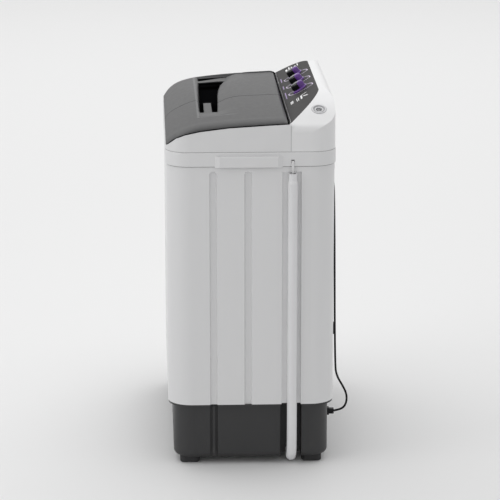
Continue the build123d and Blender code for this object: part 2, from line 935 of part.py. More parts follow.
with BuildPart() as wash_tub:
    add(wash_tub_form(tub_wall, wash_tub_under))
    rounded_block(
        wash_half_x + tub_flange,
        wash_half_y + tub_flange,
        wash_tub_corner + tub_flange,
        tub_top - tub_wall,
        tub_top,
        middle=wash_middle,
    )
    add(wash_tub_form(0, wash_tub_low), mode=Mode.SUBTRACT)
    upright(wash_tub_x, pulsator_y, shaft_radius + 3, wash_tub_under, wash_tub_low, Mode.SUBTRACT)
    upright(valve_x, wash_outlet_y, outlet_radius, wash_tub_under, wash_tub_low, Mode.SUBTRACT)
finish(wash_tub.part, "wash_tub")

# Overflow cover over the outlet, and the lint filter, on the tub's rear wall
with BuildPart() as overflow_cover:
    cover_low_corner = (valve_x - overflow_width / 2, wash_tub_back - overflow_depth, wash_tub_low)
    cover_high_corner = (valve_x + overflow_width / 2, wash_tub_back, overflow_top)
    plain_block(cover_low_corner, cover_high_corner)
    fillet(overflow_cover.edges().filter_by(Axis.Z).group_by(Axis.Y)[0], 3 * wall)
    plain_block(
        (cover_low_corner[0] + wall, cover_low_corner[1] + wall, wash_tub_low),
        (cover_high_corner[0] - wall, wash_tub_back, overflow_top - wall),
        mode=Mode.SUBTRACT,
    )
    edge_gap = 1.5 * tub_bottom_radius
    plain_block(
        (cover_low_corner[0], wash_tub_back - edge_gap, wash_tub_low),
        (cover_high_corner[0], wash_tub_back, wash_tub_low + edge_gap),
        mode=Mode.SUBTRACT,
    )
finish(overflow_cover.part, "overflow_cover")

with BuildPart() as lint_filter:
    filter_half = lint_width / 2
    plain_block(
        (lint_x - filter_half, wash_tub_back - 2 * wall, lint_low),
        (lint_x + filter_half, wash_tub_back, lint_low + lint_height),
    )
    bag_half = filter_half - 3 * wall
    with BuildSketch(Plane.XY.offset(lint_low + 3 * wall)) as bag_foot:
        with Locations((lint_x, wash_tub_back - 2 * wall - lint_bag / 2)):
            RectangleRounded(2 * bag_half, lint_bag, lint_bag / 3)
    extrude(bag_foot.sketch, amount=lint_height - 6 * wall)
finish(lint_filter.part, "lint_filter")

# Pulsator: a domed disc with three vanes, on the gearbox's output shaft
pulsator_low = wash_tub_low + pulsator_gap
pulsator_edge = wash_tub_x + pulsator_radius
dome_rim_z = pulsator_low + 2 * wall
dome_half_z = pulsator_low + pulsator_height * dome_half_share
dome_top_z = pulsator_low + pulsator_height * dome_share
with BuildPart() as pulsator:
    with BuildSketch(Plane.XZ.offset(-pulsator_y)) as dome:
        with BuildLine():
            Line((wash_tub_x, pulsator_low), (pulsator_edge, pulsator_low))
            Line((pulsator_edge, pulsator_low), (pulsator_edge, dome_rim_z))
            ThreePointArc(
                (pulsator_edge, dome_rim_z),
                (wash_tub_x + pulsator_radius / 2, dome_half_z),
                (wash_tub_x, dome_top_z),
            )
            Line((wash_tub_x, dome_top_z), (wash_tub_x, pulsator_low))
        make_face()
    revolve(dome.sketch, axis=Axis((wash_tub_x, pulsator_y, 0), (0, 0, 1)))
    with BuildSketch(Plane(origin=(wash_tub_x, pulsator_y, pulsator_low))) as vanes:
        with PolarLocations(pulsator_radius * vane_ring_share, vane_count):
            SlotOverall(pulsator_radius * vane_share, vane_width)
        Circle(hub_radius + wall)
    extrude(vanes.sketch, amount=pulsator_height, taper=6)
    shaft_end_z = pulsator_low + pulsator_height / 2
    upright(wash_tub_x, pulsator_y, shaft_radius, pulsator_low, shaft_end_z, Mode.SUBTRACT)
finish(pulsator.part, "pulsator")

# Wash drive: bracket plate under the tub, gearbox and motor on it, pulleys and belt below it
bracket_top = bracket_low + bracket_thick
gearbox_top = wash_tub_under
motor_low = bracket_top + mount_height
wash_shaft_low = bracket_top + gearbox_height / 2
with BuildPart() as drive_bracket:
    with BuildSketch(Plane.XY.offset(bracket_low)):
        with Locations((wash_tub_x, pulsator_y)):
            Circle(gearbox_radius + bracket_margin)
        with Locations((wash_tub_x, wash_motor_y)):
            Circle(wash_motor_radius + 2 * wall)
        make_hull()
        with Locations((wash_tub_x, pulsator_y), (wash_tub_x, wash_motor_y)):
            Circle(shaft_radius + 3, mode=Mode.SUBTRACT)
    extrude(amount=bracket_thick)
    for side, end in ((-1, -1), (-1, 1), (1, -1), (1, 1)):
        post = (wash_tub_x + side * post_x, pulsator_y + end * post_y)
        upright(*post, post_radius, bracket_top, wash_tub_under)
finish(drive_bracket.part, "drive_bracket")

with BuildPart() as wash_gearbox:
    upright(wash_tub_x, pulsator_y, gearbox_radius, bracket_top, bracket_top + gearbox_height)
    fillet(wash_gearbox.edges().group_by(Axis.Z)[-1], 3 * wall)
    upright(wash_tub_x, pulsator_y, 2 * shaft_radius, bracket_top, gearbox_top)
    upright(wash_tub_x, pulsator_y, shaft_radius + running_gap, bracket_top, gearbox_top, Mode.SUBTRACT)
finish(wash_gearbox.part, "wash_gearbox")

with BuildPart() as wash_shaft:
    upright(wash_tub_x, pulsator_y, shaft_radius, wash_shaft_low, pulsator_low + pulsator_height / 2)
finish(wash_shaft.part, "wash_shaft")

with BuildPart() as wash_shaft_seal:
    upright(wash_tub_x, pulsator_y, shaft_radius + 3, wash_tub_under, wash_tub_low)
    upright(wash_tub_x, pulsator_y, shaft_radius + contact_gap, wash_tub_under, wash_tub_low, Mode.SUBTRACT)
finish(wash_shaft_seal.part, "wash_shaft_seal")


def pulley(y, radius, shaft_top):
    """A belt pulley with its shaft, under the bracket."""
    middle = pulley_low + pulley_height / 2
    half_groove = belt_width / 2 + contact_gap
    with BuildPart() as wheel:
        upright(wash_tub_x, y, radius, pulley_low, pulley_low + pulley_height)
        with BuildSketch(Plane.XY.offset(middle - half_groove)) as groove:
            with Locations((wash_tub_x, y)):
                Circle(radius + 1)
                Circle(radius - pulley_rim, mode=Mode.SUBTRACT)
        extrude(groove.sketch, amount=2 * half_groove, mode=Mode.SUBTRACT)
        upright(wash_tub_x, y, shaft_radius, pulley_low + pulley_height, shaft_top)
    return wheel.part


with BuildPart() as gearbox_pulley:
    add(pulley(pulsator_y, big_pulley_radius, wash_shaft_low - 2))
    with BuildSketch(Plane(origin=(wash_tub_x, pulsator_y, pulley_low))) as windows:
        with PolarLocations(big_pulley_radius * window_ring_share, window_count):
            Circle(big_pulley_radius * window_share)
    extrude(windows.sketch, amount=pulley_height, mode=Mode.SUBTRACT)
finish(gearbox_pulley.part, "gearbox_pulley")

with BuildPart() as motor_pulley:
    add(pulley(wash_motor_y, small_pulley_radius, motor_low + 4 * wall))
finish(motor_pulley.part, "motor_pulley")

with BuildPart() as drive_belt:
    with BuildSketch(Plane.XY.offset(pulley_low + (pulley_height - belt_width) / 2)) as loop:
        seat = contact_gap - pulley_rim
        for y, radius in ((pulsator_y, big_pulley_radius), (wash_motor_y, small_pulley_radius)):
            with Locations((wash_tub_x, y)):
                Circle(radius + seat + belt_thick)
        make_hull()
    with BuildSketch(Plane.XY.offset(pulley_low + (pulley_height - belt_width) / 2)) as loop_room:
        for y, radius in ((pulsator_y, big_pulley_radius), (wash_motor_y, small_pulley_radius)):
            with Locations((wash_tub_x, y)):
                Circle(radius + seat)
        make_hull()
    extrude(loop.sketch - loop_room.sketch, amount=belt_width)
finish(drive_belt.part, "drive_belt")

with BuildPart() as wash_motor:
    upright(wash_tub_x, wash_motor_y, wash_motor_radius, motor_low, motor_low + wash_motor_height)
    fillet(wash_motor.edges().group_by(Axis.Z)[-1], 4 * wall)
    fillet(wash_motor.edges().group_by(Axis.Z)[0], 2 * wall)
    upright(
        wash_tub_x, wash_motor_y, shaft_radius + running_gap, motor_low, motor_low + 5 * wall, Mode.SUBTRACT
    )
finish(wash_motor.part, "wash_motor")

with BuildPart() as motor_mounts:
    with BuildSketch(Plane(origin=(wash_tub_x, wash_motor_y, bracket_top))):
        with PolarLocations(wash_motor_radius - 5 * wall, 4, start_angle=45):
            Circle(2 * wall)
    extrude(amount=mount_height)
finish(motor_mounts.part, "motor_mounts")

# Spin tub: a round tub under its mouth, with a hole for the shaft and an outlet
spin_tub_under = spin_tub_low - tub_wall
with BuildPart() as spin_tub:
    upright(spin_x, spin_y, spin_tub_radius, spin_tub_under, tub_top)
    upright(spin_x, spin_y, spin_tub_radius + tub_flange, tub_top - tub_wall, tub_top)
    upright(spin_x, spin_y, spin_tub_radius - tub_wall, spin_tub_low, tub_top, Mode.SUBTRACT)
    upright(spin_x, spin_y, bellows_seat, spin_tub_under, spin_tub_low, Mode.SUBTRACT)
    upright(spin_outlet_x, spin_outlet_y, outlet_radius, spin_tub_under, spin_tub_low, Mode.SUBTRACT)
finish(spin_tub.part, "spin_tub")


def turned(points, x, y):
    """A solid turned about an upright axis from its half section, given as (radius, height)."""
    with BuildPart() as solid:
        with BuildSketch(Plane.XZ.offset(-y)) as half:
            with BuildLine():
                Polyline(*[(x + radius, height) for radius, height in points], close=True)
            make_face()
        revolve(half.sketch, axis=Axis((x, y, 0), (0, 0, 1)))
    return solid.part


# Rubber bellows that seals the spin shaft where it enters the tub
sleeve = spin_shaft_radius + contact_gap
with BuildPart() as shaft_bellows:
    add(
        turned(
            [
                (bellows_seat - 2 * wall, spin_tub_low),
                (bellows_seat + 2 * wall, spin_tub_low),
                (bellows_seat + 2 * wall, spin_tub_low + wall),
                (bellows_seat - wall, spin_tub_low + wall),
                (sleeve + wall, spin_tub_low + 5 * wall),
                (sleeve + wall, spin_tub_low + 8 * wall),
                (sleeve, spin_tub_low + 8 * wall),
                (sleeve, spin_tub_low + 4 * wall),
            ],
            spin_x,
            spin_y,
        )
    )
finish(shaft_bellows.part, "shaft_bellows")

# Spin basket: steel drum with drain holes, a balance ring at the top and a hub on the shaft
basket_top = basket_low + basket_height
with BuildPart() as spin_basket:
    upright(spin_x, spin_y, basket_radius, basket_low, basket_top)
    upright(spin_x, spin_y, basket_radius - basket_wall, basket_low + basket_wall, basket_top, Mode.SUBTRACT)
    for level in range(hole_rows):
        height = basket_low + (level + 1) * basket_height / (hole_rows + 1)
        with BuildSketch(Plane(origin=(spin_x, spin_y, height), x_dir=(0, 0, 1), z_dir=(1, 0, 0))) as hole:
            Circle(drain_hole_radius)
        drill = extrude(hole.sketch, amount=basket_radius + 1, mode=Mode.PRIVATE)
        for turn in range(holes_per_row):
            angle = 360 * turn / holes_per_row
            add(drill.rotate(Axis((spin_x, spin_y, 0), (0, 0, 1)), angle), mode=Mode.SUBTRACT)
    upright(spin_x, spin_y, hub_radius, basket_low, basket_low + hub_height)
    upright(spin_x, spin_y, spin_shaft_radius, basket_low, basket_low + hub_height, Mode.SUBTRACT)
finish(spin_basket.part, "spin_basket")

with BuildPart() as balance_ring:
    inner = basket_radius - basket_wall
    add(
        turned(
            [
                (inner, basket_top),
                (inner, basket_top - ring_height),
                (inner - ring_width, basket_top - ring_height),
                (inner - ring_width, basket_top),
            ],
            spin_x,
            spin_y,
        )
    )
finish(balance_ring.part, "balance_ring")

spin_motor_top = spin_motor_low + spin_motor_height
spin_shaft_foot = spin_motor_top - 5 * wall
with BuildPart() as spin_shaft:
    upright(spin_x, spin_y, spin_shaft_radius, spin_shaft_foot, basket_low + hub_height)
finish(spin_shaft.part, "spin_shaft")

drum_top = drum_low + drum_height
with BuildPart() as brake_drum:
    add(
        turned(
            [
                (spin_shaft_radius, drum_low),
                (2 * spin_shaft_radius, drum_low),
                (2 * spin_shaft_radius, drum_top - 2 * wall),
                (drum_radius - 2 * wall, drum_top - 2 * wall),
                (drum_radius - 2 * wall, drum_low),
                (drum_radius, drum_low),
                (drum_radius, drum_top),
                (spin_shaft_radius, drum_top),
            ],
            spin_x,
            spin_y,
        )
    )
finish(brake_drum.part, "brake_drum")

# Spin motor on a plate, held on three rubber boots that stand on the tray
plate_low = spin_motor_low - flange_wall
boot_spots = [
    (
        spin_x + (spin_motor_radius + boot_radius) * math.cos(math.radians(90 + 120 * turn)),
        spin_y + (spin_motor_radius + boot_radius) * math.sin(math.radians(90 + 120 * turn)),
    )
    for turn in range(3)
]
with BuildPart() as motor_plate:
    with BuildSketch(Plane.XY.offset(plate_low)):
        with Locations(*boot_spots):
            Circle(boot_radius + wall)
        make_hull()
    extrude(amount=flange_wall)
finish(motor_plate.part, "motor_plate")

with BuildPart() as motor_boots:
    waist = (tray_floor + plate_low) / 2
    for x, y in boot_spots:
        add(
            turned(
                [
                    (0, tray_floor),
                    (boot_radius, tray_floor),
                    (boot_radius, tray_floor + 3 * wall),
                    (boot_radius * boot_waist_share, waist),
                    (boot_radius, plate_low - 3 * wall),
                    (boot_radius, plate_low),
                    (0, plate_low),
                ],
                x,
                y,
            )
        )
finish(motor_boots.part, "motor_boots")

with BuildPart() as spin_motor:
    upright(spin_x, spin_y, spin_motor_radius, spin_motor_low, spin_motor_top)
    fillet(spin_motor.edges().group_by(Axis.Z)[-1], 4 * wall)
    upright(spin_x, spin_y, spin_shaft_radius + running_gap, spin_shaft_foot - 1, spin_motor_top, Mode.SUBTRACT)
finish(spin_motor.part, "spin_motor")

# Brake: a bracket on the motor, an arm with its pad beside the drum, and the cable to the lid switch
pivot_x = spin_x - drum_radius - brake_pad - brake_arm_width / 2
pivot_y = spin_y - brake_arm_back
arm_low = drum_low + drum_height / 2 - brake_arm_height / 2
arm_end_y = spin_y + brake_arm_reach
with BuildPart() as brake_bracket:
    with BuildSketch(Plane.XY.offset(spin_motor_top)) as web:
        with Locations((pivot_x, pivot_y)):
            Circle(2 * pivot_radius)
        with Locations((spin_x, spin_y)):
            Circle(4 * pivot_radius)
        make_hull()
        with Locations((spin_x, spin_y)):
            Circle(spin_shaft_radius + wall, mode=Mode.SUBTRACT)
    extrude(amount=wall)
    upright(pivot_x, pivot_y, 2 * pivot_radius, spin_motor_top, arm_low - contact_gap)
    upright(pivot_x, pivot_y, pivot_radius, spin_motor_top, arm_low + brake_arm_height + 1)
finish(brake_bracket.part, "brake_bracket")

with BuildPart() as brake_arm:
    arm_half = brake_arm_width / 2
    plain_block(
        (pivot_x - arm_half, pivot_y, arm_low),
        (pivot_x + arm_half, arm_end_y, arm_low + brake_arm_height),
    )
    upright(pivot_x, pivot_y, 2 * pivot_radius, arm_low, arm_low + brake_arm_height)
    plain_block(
        (pivot_x, spin_y - brake_pad_length / 2, arm_low),
        (spin_x - drum_radius + brake_pad, spin_y + brake_pad_length / 2, arm_low + brake_arm_height),
    )
    upright(spin_x, spin_y, drum_radius + brake_gap, arm_low, arm_low + brake_arm_height, Mode.SUBTRACT)
    upright(
        pivot_x, pivot_y, pivot_radius + running_gap, arm_low, arm_low + brake_arm_height, Mode.SUBTRACT
    )
finish(brake_arm.part, "brake_arm")

with BuildPart() as lid_switch:
    plain_block(
        (seam_x - switch_size / 2, switch_y - switch_size / 2, deck_plate_low - switch_size),
        (seam_x + switch_size / 2, switch_y + switch_size / 2, deck_plate_low),
    )
finish(lid_switch.part, "lid_switch")

cable_route = [
    (pivot_x - arm_half - cable_radius, arm_end_y - 3 * cable_radius, arm_low + brake_arm_height / 2),
    (pivot_x - 3 * cable_radius - boot_radius, arm_end_y + boot_radius, arm_low + brake_arm_height),
    (seam_x, switch_y - boot_radius, wash_tub_under),
    (seam_x, switch_y, wash_tub_low + 4 * tub_flange),
    (seam_x, switch_y, deck_plate_low - switch_size),
]
with BuildPart() as brake_cable:
    with BuildLine() as cable_path:
        FilletPolyline(*cable_route, radius=[14, 24, 50])
    start = cable_path.line @ 0
    with BuildSketch(Plane(origin=start, z_dir=cable_path.line % 0)):
        Circle(cable_radius)
    sweep(path=cable_path.wires()[0])
finish(brake_cable.part, "brake_cable")

# Run capacitor in its socket on the tray
with BuildPart() as capacitor:
    upright(capacitor_x, capacitor_y, capacitor_radius, tray_floor, tray_floor + capacitor_height)
finish(capacitor.part, "capacitor")

with base_tray:
    upright(capacitor_x, capacitor_y, capacitor_radius + wall, tray_floor, tray_floor + capacitor_height / 3)
    upright(capacitor_x, capacitor_y, capacitor_radius, tray_floor, tray_floor + capacitor_height, Mode.SUBTRACT)

# Knobs: a skirt with a leaf-shaped grip and a stem
knob_low = contact_gap


def knob_plane(x, lift):
    """The panel's plane at one knob, with its y axis up the slope."""
    return Plane(
        origin=panel_plane.from_local_coords((x, knob_slope, lift)), x_dir=panel_plane.x_dir, z_dir=panel_plane.z_dir
    )


def leaf(plane, length, width):
    """A pointed leaf outline, long along the plane's y axis."""
    with BuildSketch(plane) as outline:
        with BuildLine():
            ThreePointArc((0, -length / 2), (width / 2, 0), (0, length / 2))
            ThreePointArc((0, length / 2), (-width / 2, 0), (0, -length / 2))
        make_face()
    return outline.sketch


def knob_body(x):
    """One knob: skirt, leaf grip and the stem that enters the timer."""
    base = knob_plane(x, knob_low)
    with BuildPart() as knob:
        with BuildSketch(base):
            Circle(knob_skirt_radius)
        extrude(amount=knob_skirt, taper=8)
        extrude(leaf(base, knob_length, knob_width), amount=knob_height, taper=4)
        with BuildSketch(base) as stem:
            Circle(knob_shaft_radius)
        extrude(stem.sketch, amount=-(knob_low + panel_wall + stem_depth))
    return knob.part


for name, x in zip(("wash_timer", "drain_selector", "spin_timer"), knob_xs):
    with BuildPart() as knob_piece:
        add(knob_body(x))
    finish(knob_piece.part, f"{name}_knob")

def timer_body(x):
    """One timer under the panel, with the bore for the knob's stem."""
    top = knob_plane(x, -panel_wall)
    with BuildPart() as timer:
        with BuildSketch(top):
            RectangleRounded(timer_size, timer_size, 2 * wall)
        extrude(amount=-timer_depth)
        with BuildSketch(top) as bore:
            Circle(knob_shaft_radius + running_gap)
        extrude(bore.sketch, amount=-(stem_depth + 1), mode=Mode.SUBTRACT)
    return timer.part


rod_way = rod_radius + contact_gap
with BuildPart() as wash_timer:
    add(timer_body(knob_xs[0]))
finish(wash_timer.part, "wash_timer")

with BuildPart() as spin_timer:
    add(timer_body(knob_xs[2]))
finish(spin_timer.part, "spin_timer")

with BuildPart() as drain_selector:
    add(timer_body(knob_xs[1]))
    upright(valve_x, valve_y, rod_way, rim_top, rod_top + rod_stroke + wall, Mode.SUBTRACT)
finish(drain_selector.part, "drain_selector")

# Drain valve under the selector, and the rod that lifts its plunger
valve_top = valve_low + valve_height
with BuildPart() as drain_valve:
    upright(valve_x, valve_y, valve_radius, valve_low, valve_top)
    upright(valve_x, valve_y, valve_radius - wall, valve_low + wall, valve_top - wall, Mode.SUBTRACT)
    upright(valve_x, valve_y, rod_way, valve_low + 2 * wall, valve_top, Mode.SUBTRACT)
    upright(valve_x, valve_y, outlet_radius, valve_low, valve_low + 2 * wall, Mode.SUBTRACT)
    for port_x, port_y, port_z in ((0, -1, wash_port_z), (1, 0, spin_port_z)):
        with BuildSketch(Plane(origin=(valve_x, valve_y, port_z), z_dir=(port_x, port_y, 0))) as port:
            Circle(outlet_radius)
        extrude(port.sketch, amount=valve_radius + 1, mode=Mode.SUBTRACT)
finish(drain_valve.part, "drain_valve")

with BuildPart() as valve_plunger:
    upright(valve_x, valve_y, rod_radius, valve_low + 3 * wall, rod_top)
    upright(
        valve_x, valve_y, outlet_radius + wall, valve_low + wall + contact_gap, valve_low + 3 * wall
    )
finish(valve_plunger.part, "valve_plunger")


def pipe(route, bend, radius):
    """A tube with a bore along a route of straight runs and round bends."""
    with BuildPart() as tube:
        with BuildLine() as way:
            FilletPolyline(*route, radius=bend)
        with BuildSketch(Plane(origin=way.line @ 0, z_dir=way.line % 0)) as ring:
            Circle(radius)
            Circle(radius - pipe_wall, mode=Mode.SUBTRACT)
        sweep(sections=ring.sketch, path=way.wires()[0])
    return tube.part


wash_pipe_route = [
    (valve_x, wash_outlet_y, wash_tub_under),
    (valve_x, wash_outlet_y, wash_port_z),
    (valve_x, valve_y - valve_radius, wash_port_z),
]
spin_pipe_route = [
    (spin_outlet_x, spin_outlet_y, spin_tub_under),
    (spin_outlet_x, spin_outlet_y, spin_port_z),
    (spin_outlet_x, valve_y, spin_port_z),
    (valve_x + valve_radius, valve_y, spin_port_z),
]
with BuildPart() as tub_drain_pipes:
    add(pipe(wash_pipe_route, 1.2 * pipe_radius, pipe_radius))
    add(pipe(spin_pipe_route, 2 * pipe_radius, pipe_radius))
finish(tub_drain_pipes.part, "tub_drain_pipes")

# The hose leaves the drain outlet in the base's bay, turns up and hangs by its cuff
hose_route = [
    (bay_floor_x + 8, hose_y - 1.5, 33),
    (400, hose_y - 1.5, 19.5),
    (425, hose_y - 1, 25.5),
    (hose_x, hose_y, 52),
    (hose_x, hose_y, cuff_low),
]
outlet_way = Vector(*hose_route[0]) - Vector(*hose_route[1])
outlet_way = outlet_way.normalized()
outlet_end = Vector(*hose_route[0])
sump_x = outlet_end.X - 3 * pipe_radius
with BuildPart() as outlet_pipe:
    add(
        pipe(
            [
                (valve_x, valve_y, valve_low),
                (valve_x, valve_y, outlet_pipe_z),
                (sump_x, valve_y, outlet_pipe_z),
                tuple(outlet_end + outlet_way * 2.5 * pipe_radius),
                tuple(outlet_end),
            ],
            [2 * pipe_radius, 2 * pipe_radius, 1.3 * pipe_radius],
            outlet_radius,
        )
    )
finish(outlet_pipe.part, "outlet_pipe")
with base_tray:
    with BuildSketch(Plane(origin=tuple(outlet_end), z_dir=tuple(outlet_way))) as outlet_hole:
        Circle(outlet_radius + 1)
    extrude(outlet_hole.sketch, amount=8 * wall, both=True, mode=Mode.SUBTRACT)


def route_radii(route, share=0.45):
    """The largest round bend that each corner of a route leaves room for."""
    radii = []
    for before, corner, after in zip(route, route[1:], route[2:]):
        first = Vector(*corner) - Vector(*before)
        second = Vector(*after) - Vector(*corner)
        half_turn = math.radians(first.get_angle(second) / 2)
        radii.append(share * min(first.length, second.length) / math.tan(half_turn))
    return radii


def round_cord(route, radii, radius):
    """A plain round cord along a route, and the length of its middle line."""
    with BuildPart() as cord:
        with BuildLine() as way:
            FilletPolyline(*route, radius=radii)
        with BuildSketch(Plane(origin=way.line @ 0, z_dir=way.line % 0)):
            Circle(radius)
        sweep(path=way.wires()[0])
    return cord.part, way.wires()[0].length


def report_cord(name, part, length, radius, radii):
    """Print a cord's bends, its length and how its volume compares with section times length."""
    ratio = part.volume / (math.pi * radius**2 * length)
    print(name, "length", round(length, 1), "volume over section", round(ratio, 4))
    print(name, "bend radii", [round(value, 1) for value in radii])


hose_radii = route_radii(hose_route)
hose_solid, hose_length = round_cord(hose_route, hose_radii, hose_radius)
report_cord("drain_hose", hose_solid, hose_length, hose_radius, hose_radii)
with BuildPart() as drain_hose:
    add(hose_solid)
finish(drain_hose.part, "drain_hose")

with BuildPart() as hose_cuff:
    add(
        turned(
            [
                (hose_radius - cuff_wall, cuff_low),
                (hose_radius, cuff_low),
                (hose_radius, cuff_low + cuff_flare),
                (cuff_neck_radius, cuff_top - cuff_neck),
                (cuff_neck_radius, cuff_top),
                (cuff_neck_radius - cuff_wall, cuff_top),
                (cuff_neck_radius - cuff_wall, cuff_top - cuff_neck),
                (hose_radius - cuff_wall, cuff_low + cuff_flare),
            ],
            hose_x,
            hose_y,
        )
    )
finish(hose_cuff.part, "hose_cuff")

# Strap: a hook in the band's slot, a flat strip down and a clip inside the cuff's mouth
strap_x = hose_x - cuff_neck_radius + cuff_wall + 1
strap_half = strap_width / 2
with BuildPart() as hose_strap:
    plain_block(
        (strap_x, hose_y - strap_half, cuff_top - cuff_neck),
        (strap_x + strap_thick, hose_y + strap_half, cuff_top + strap_thick),
    )
    plain_block(
        (strap_x, hose_y - strap_half, cuff_top),
        (rim_width / 2 + 1 + strap_thick, hose_y + strap_half, cuff_top + strap_thick),
    )
    plain_block(
        (rim_width / 2 + 1, hose_y - strap_half, cuff_top),
        (rim_width / 2 + 1 + strap_thick, hose_y + strap_half, strap_hole_z + strap_thick / 2),
    )
    plain_block(
        (body_half_x - 3 * wall, hose_y - strap_half, strap_hole_z - strap_thick / 2),
        (rim_width / 2 + 1 + strap_thick, hose_y + strap_half, strap_hole_z + strap_thick / 2),
    )
finish(hose_strap.part, "hose_strap")

# Water inlets on the console's hips, and the troughs that lead to the tubs
hip_z, hip_tilt = hip_surface(inlet_x)
inlet_body = inlet_radius - inlet_lip
dish_foot = -dish_depth - wall
with BuildPart() as inlet_pair:
    with BuildSketch(Plane.XZ.offset(-inlet_y)) as inlet_half:
        with BuildLine():
            Polyline(
                (inlet_spigot_radius, -spigot_drop),
                (inlet_spigot_radius + wall, -spigot_drop),
                (inlet_spigot_radius + wall, -dish_depth),
                (inlet_radius - dish_lip, -dish_depth),
                (inlet_radius - dish_lip, inlet_rim),
                (inlet_radius, inlet_rim),
                (inlet_radius, 0),
                (inlet_body, 0),
                (inlet_body, dish_foot),
                (inlet_neck_radius, dish_foot),
                (inlet_neck_radius, -inlet_neck),
                (inlet_neck_radius - wall, -inlet_neck),
                (inlet_neck_radius - wall, dish_foot),
                (inlet_spigot_radius, dish_foot),
                close=True,
            )
        make_face()
    revolve(inlet_half.sketch, axis=Axis((0, inlet_y, 0), (0, 0, 1)))
one_inlet = inlet_pair.part.rotate(Axis((0, inlet_y, 0), (0, 1, 0)), math.degrees(hip_tilt))
one_inlet = one_inlet.translate((inlet_x, 0, hip_z))
with BuildPart() as water_inlets:
    add(one_inlet)
    mirror(about=Plane.YZ)
finish(water_inlets.part, "water_inlets")

with console_housing:
    for side in (-1, 1):
        inlet_plane = Plane(
            origin=(side * inlet_x, inlet_y, hip_z), z_dir=(side * math.sin(hip_tilt), 0, math.cos(hip_tilt))
        )
        with BuildSketch(inlet_plane) as neck_hole:
            Circle(inlet_body + contact_gap)
        extrude(neck_hole.sketch, amount=2 * console_wall, both=True, mode=Mode.SUBTRACT)

trough_x = inlet_x - (hip_z - deck_plate_top) * math.tan(hip_tilt) / 2
trough_half = inlet_radius - contact_gap
trough_high = deck_plate_top + trough_height
with BuildPart() as inlet_troughs:
    for side in (-1, 1):
        left = side * trough_x - trough_half
        right = side * trough_x + trough_half
        plain_block((left, trough_mouth_y, deck_plate_top), (right, inlet_y + trough_half, trough_high))
        plain_block(
            (left + 2, trough_mouth_y - 1, deck_plate_top + 2),
            (right - 2, inlet_y + trough_half - 2, trough_high),
            mode=Mode.SUBTRACT,
        )
finish(inlet_troughs.part, "inlet_troughs")

with console_housing:
    for side in (-1, 1):
        plain_block(
            (side * trough_x - trough_half - contact_gap, console_front - 1, deck_plate_top - 1),
            (side * trough_x + trough_half + contact_gap, console_front + 2 * console_wall, trough_high + contact_gap),
            mode=Mode.SUBTRACT,
        )
finish(console_housing.part, "console_housing")

# Power cord: out of the gland, up the back, over the hook and down to the plug
with BuildPart() as cord_gland:
    with BuildSketch(Plane.XZ.offset(-(base_half_y - wall))):
        with Locations((cord_x, gland_z)):
            RectangleRounded(gland_width - 6, gland_height - 6, 3)
    extrude(amount=-(gland_out - base_half_y + wall))
    with BuildSketch(Plane.XZ.offset(-base_half_y)):
        with Locations((cord_x, gland_z)):
            RectangleRounded(gland_width, gland_height, 4)
    extrude(amount=-(gland_out - base_half_y) / 2)
finish(cord_gland.part, "cord_gland")

with base_tray:
    with BuildSketch(Plane.XZ.offset(-base_half_y - 1)) as gland_hole:
        with Locations((cord_x, gland_z)):
            RectangleRounded(gland_width - 6, gland_height - 6, 3)
    extrude(gland_hole.sketch, amount=2 * wall, mode=Mode.SUBTRACT)
finish(base_tray.part, "base_tray")

hook_left = cord_x - 2 * hook_bend
cord_route = [
    (cord_x, gland_out + 0.5, gland_z),
    (cord_x, 263, gland_z + 2.5),
    (cord_x, 278, 112),
    (cord_x, 285, 131),
    (cord_x, 283, 155),
    (cord_x, 270, 180),
    (cord_x, 256, 204),
    (cord_x, 249, 236),
    (cord_x, 244.5, 742),
    (cord_x, cord_line_y + 0.6, 792),
    (cord_x, cord_line_y, hook_z + hook_bend),
    (hook_left, cord_line_y, hook_z + hook_bend),
    (hook_left, cord_line_y, 767),
    (hook_left - 3, cord_line_y + 0.8, 690),
    (hook_left - 8, cord_line_y + 1.8, 610),
    (hook_left - 12, cord_line_y + 2.4, 526),
    (hook_left - 13, cord_line_y + 2.6, 442),
    (hook_left - 11, cord_line_y + 2.4, 362),
]
cord_radii = route_radii(cord_route)
for corner in (9, 10):
    cord_radii[corner] = hook_bend - 1
cord_solid, cord_length = round_cord(cord_route, cord_radii, cord_radius)
report_cord("power_cord", cord_solid, cord_length, cord_radius, cord_radii)
with BuildPart() as power_cord:
    add(cord_solid)
finish(power_cord.part, "power_cord")

plug_end = Vector(*cord_route[-1])
plug_way = (plug_end - Vector(*cord_route[-2])).normalized()
plug_plane = Plane(origin=tuple(plug_end), x_dir=(1, 0, 0), z_dir=tuple(plug_way))
with BuildPart() as power_plug:
    with BuildSketch(plug_plane):
        Circle(cord_radius + 1)
    with BuildSketch(plug_plane.offset(plug_neck)):
        RectangleRounded(plug_width * plug_neck_width_share, plug_thick * plug_neck_thick_share, 4)
    loft()
    with BuildSketch(plug_plane.offset(plug_neck)):
        RectangleRounded(plug_width, plug_thick, 5)
    extrude(amount=plug_body)
    with BuildSketch(plug_plane.offset(plug_neck + plug_body)):
        with Locations((-plug_pin_pitch / 2, 0), (plug_pin_pitch / 2, 0)):
            Circle(plug_pin_radius)
    extrude(amount=plug_pin)
finish(power_plug.part, "power_plug")

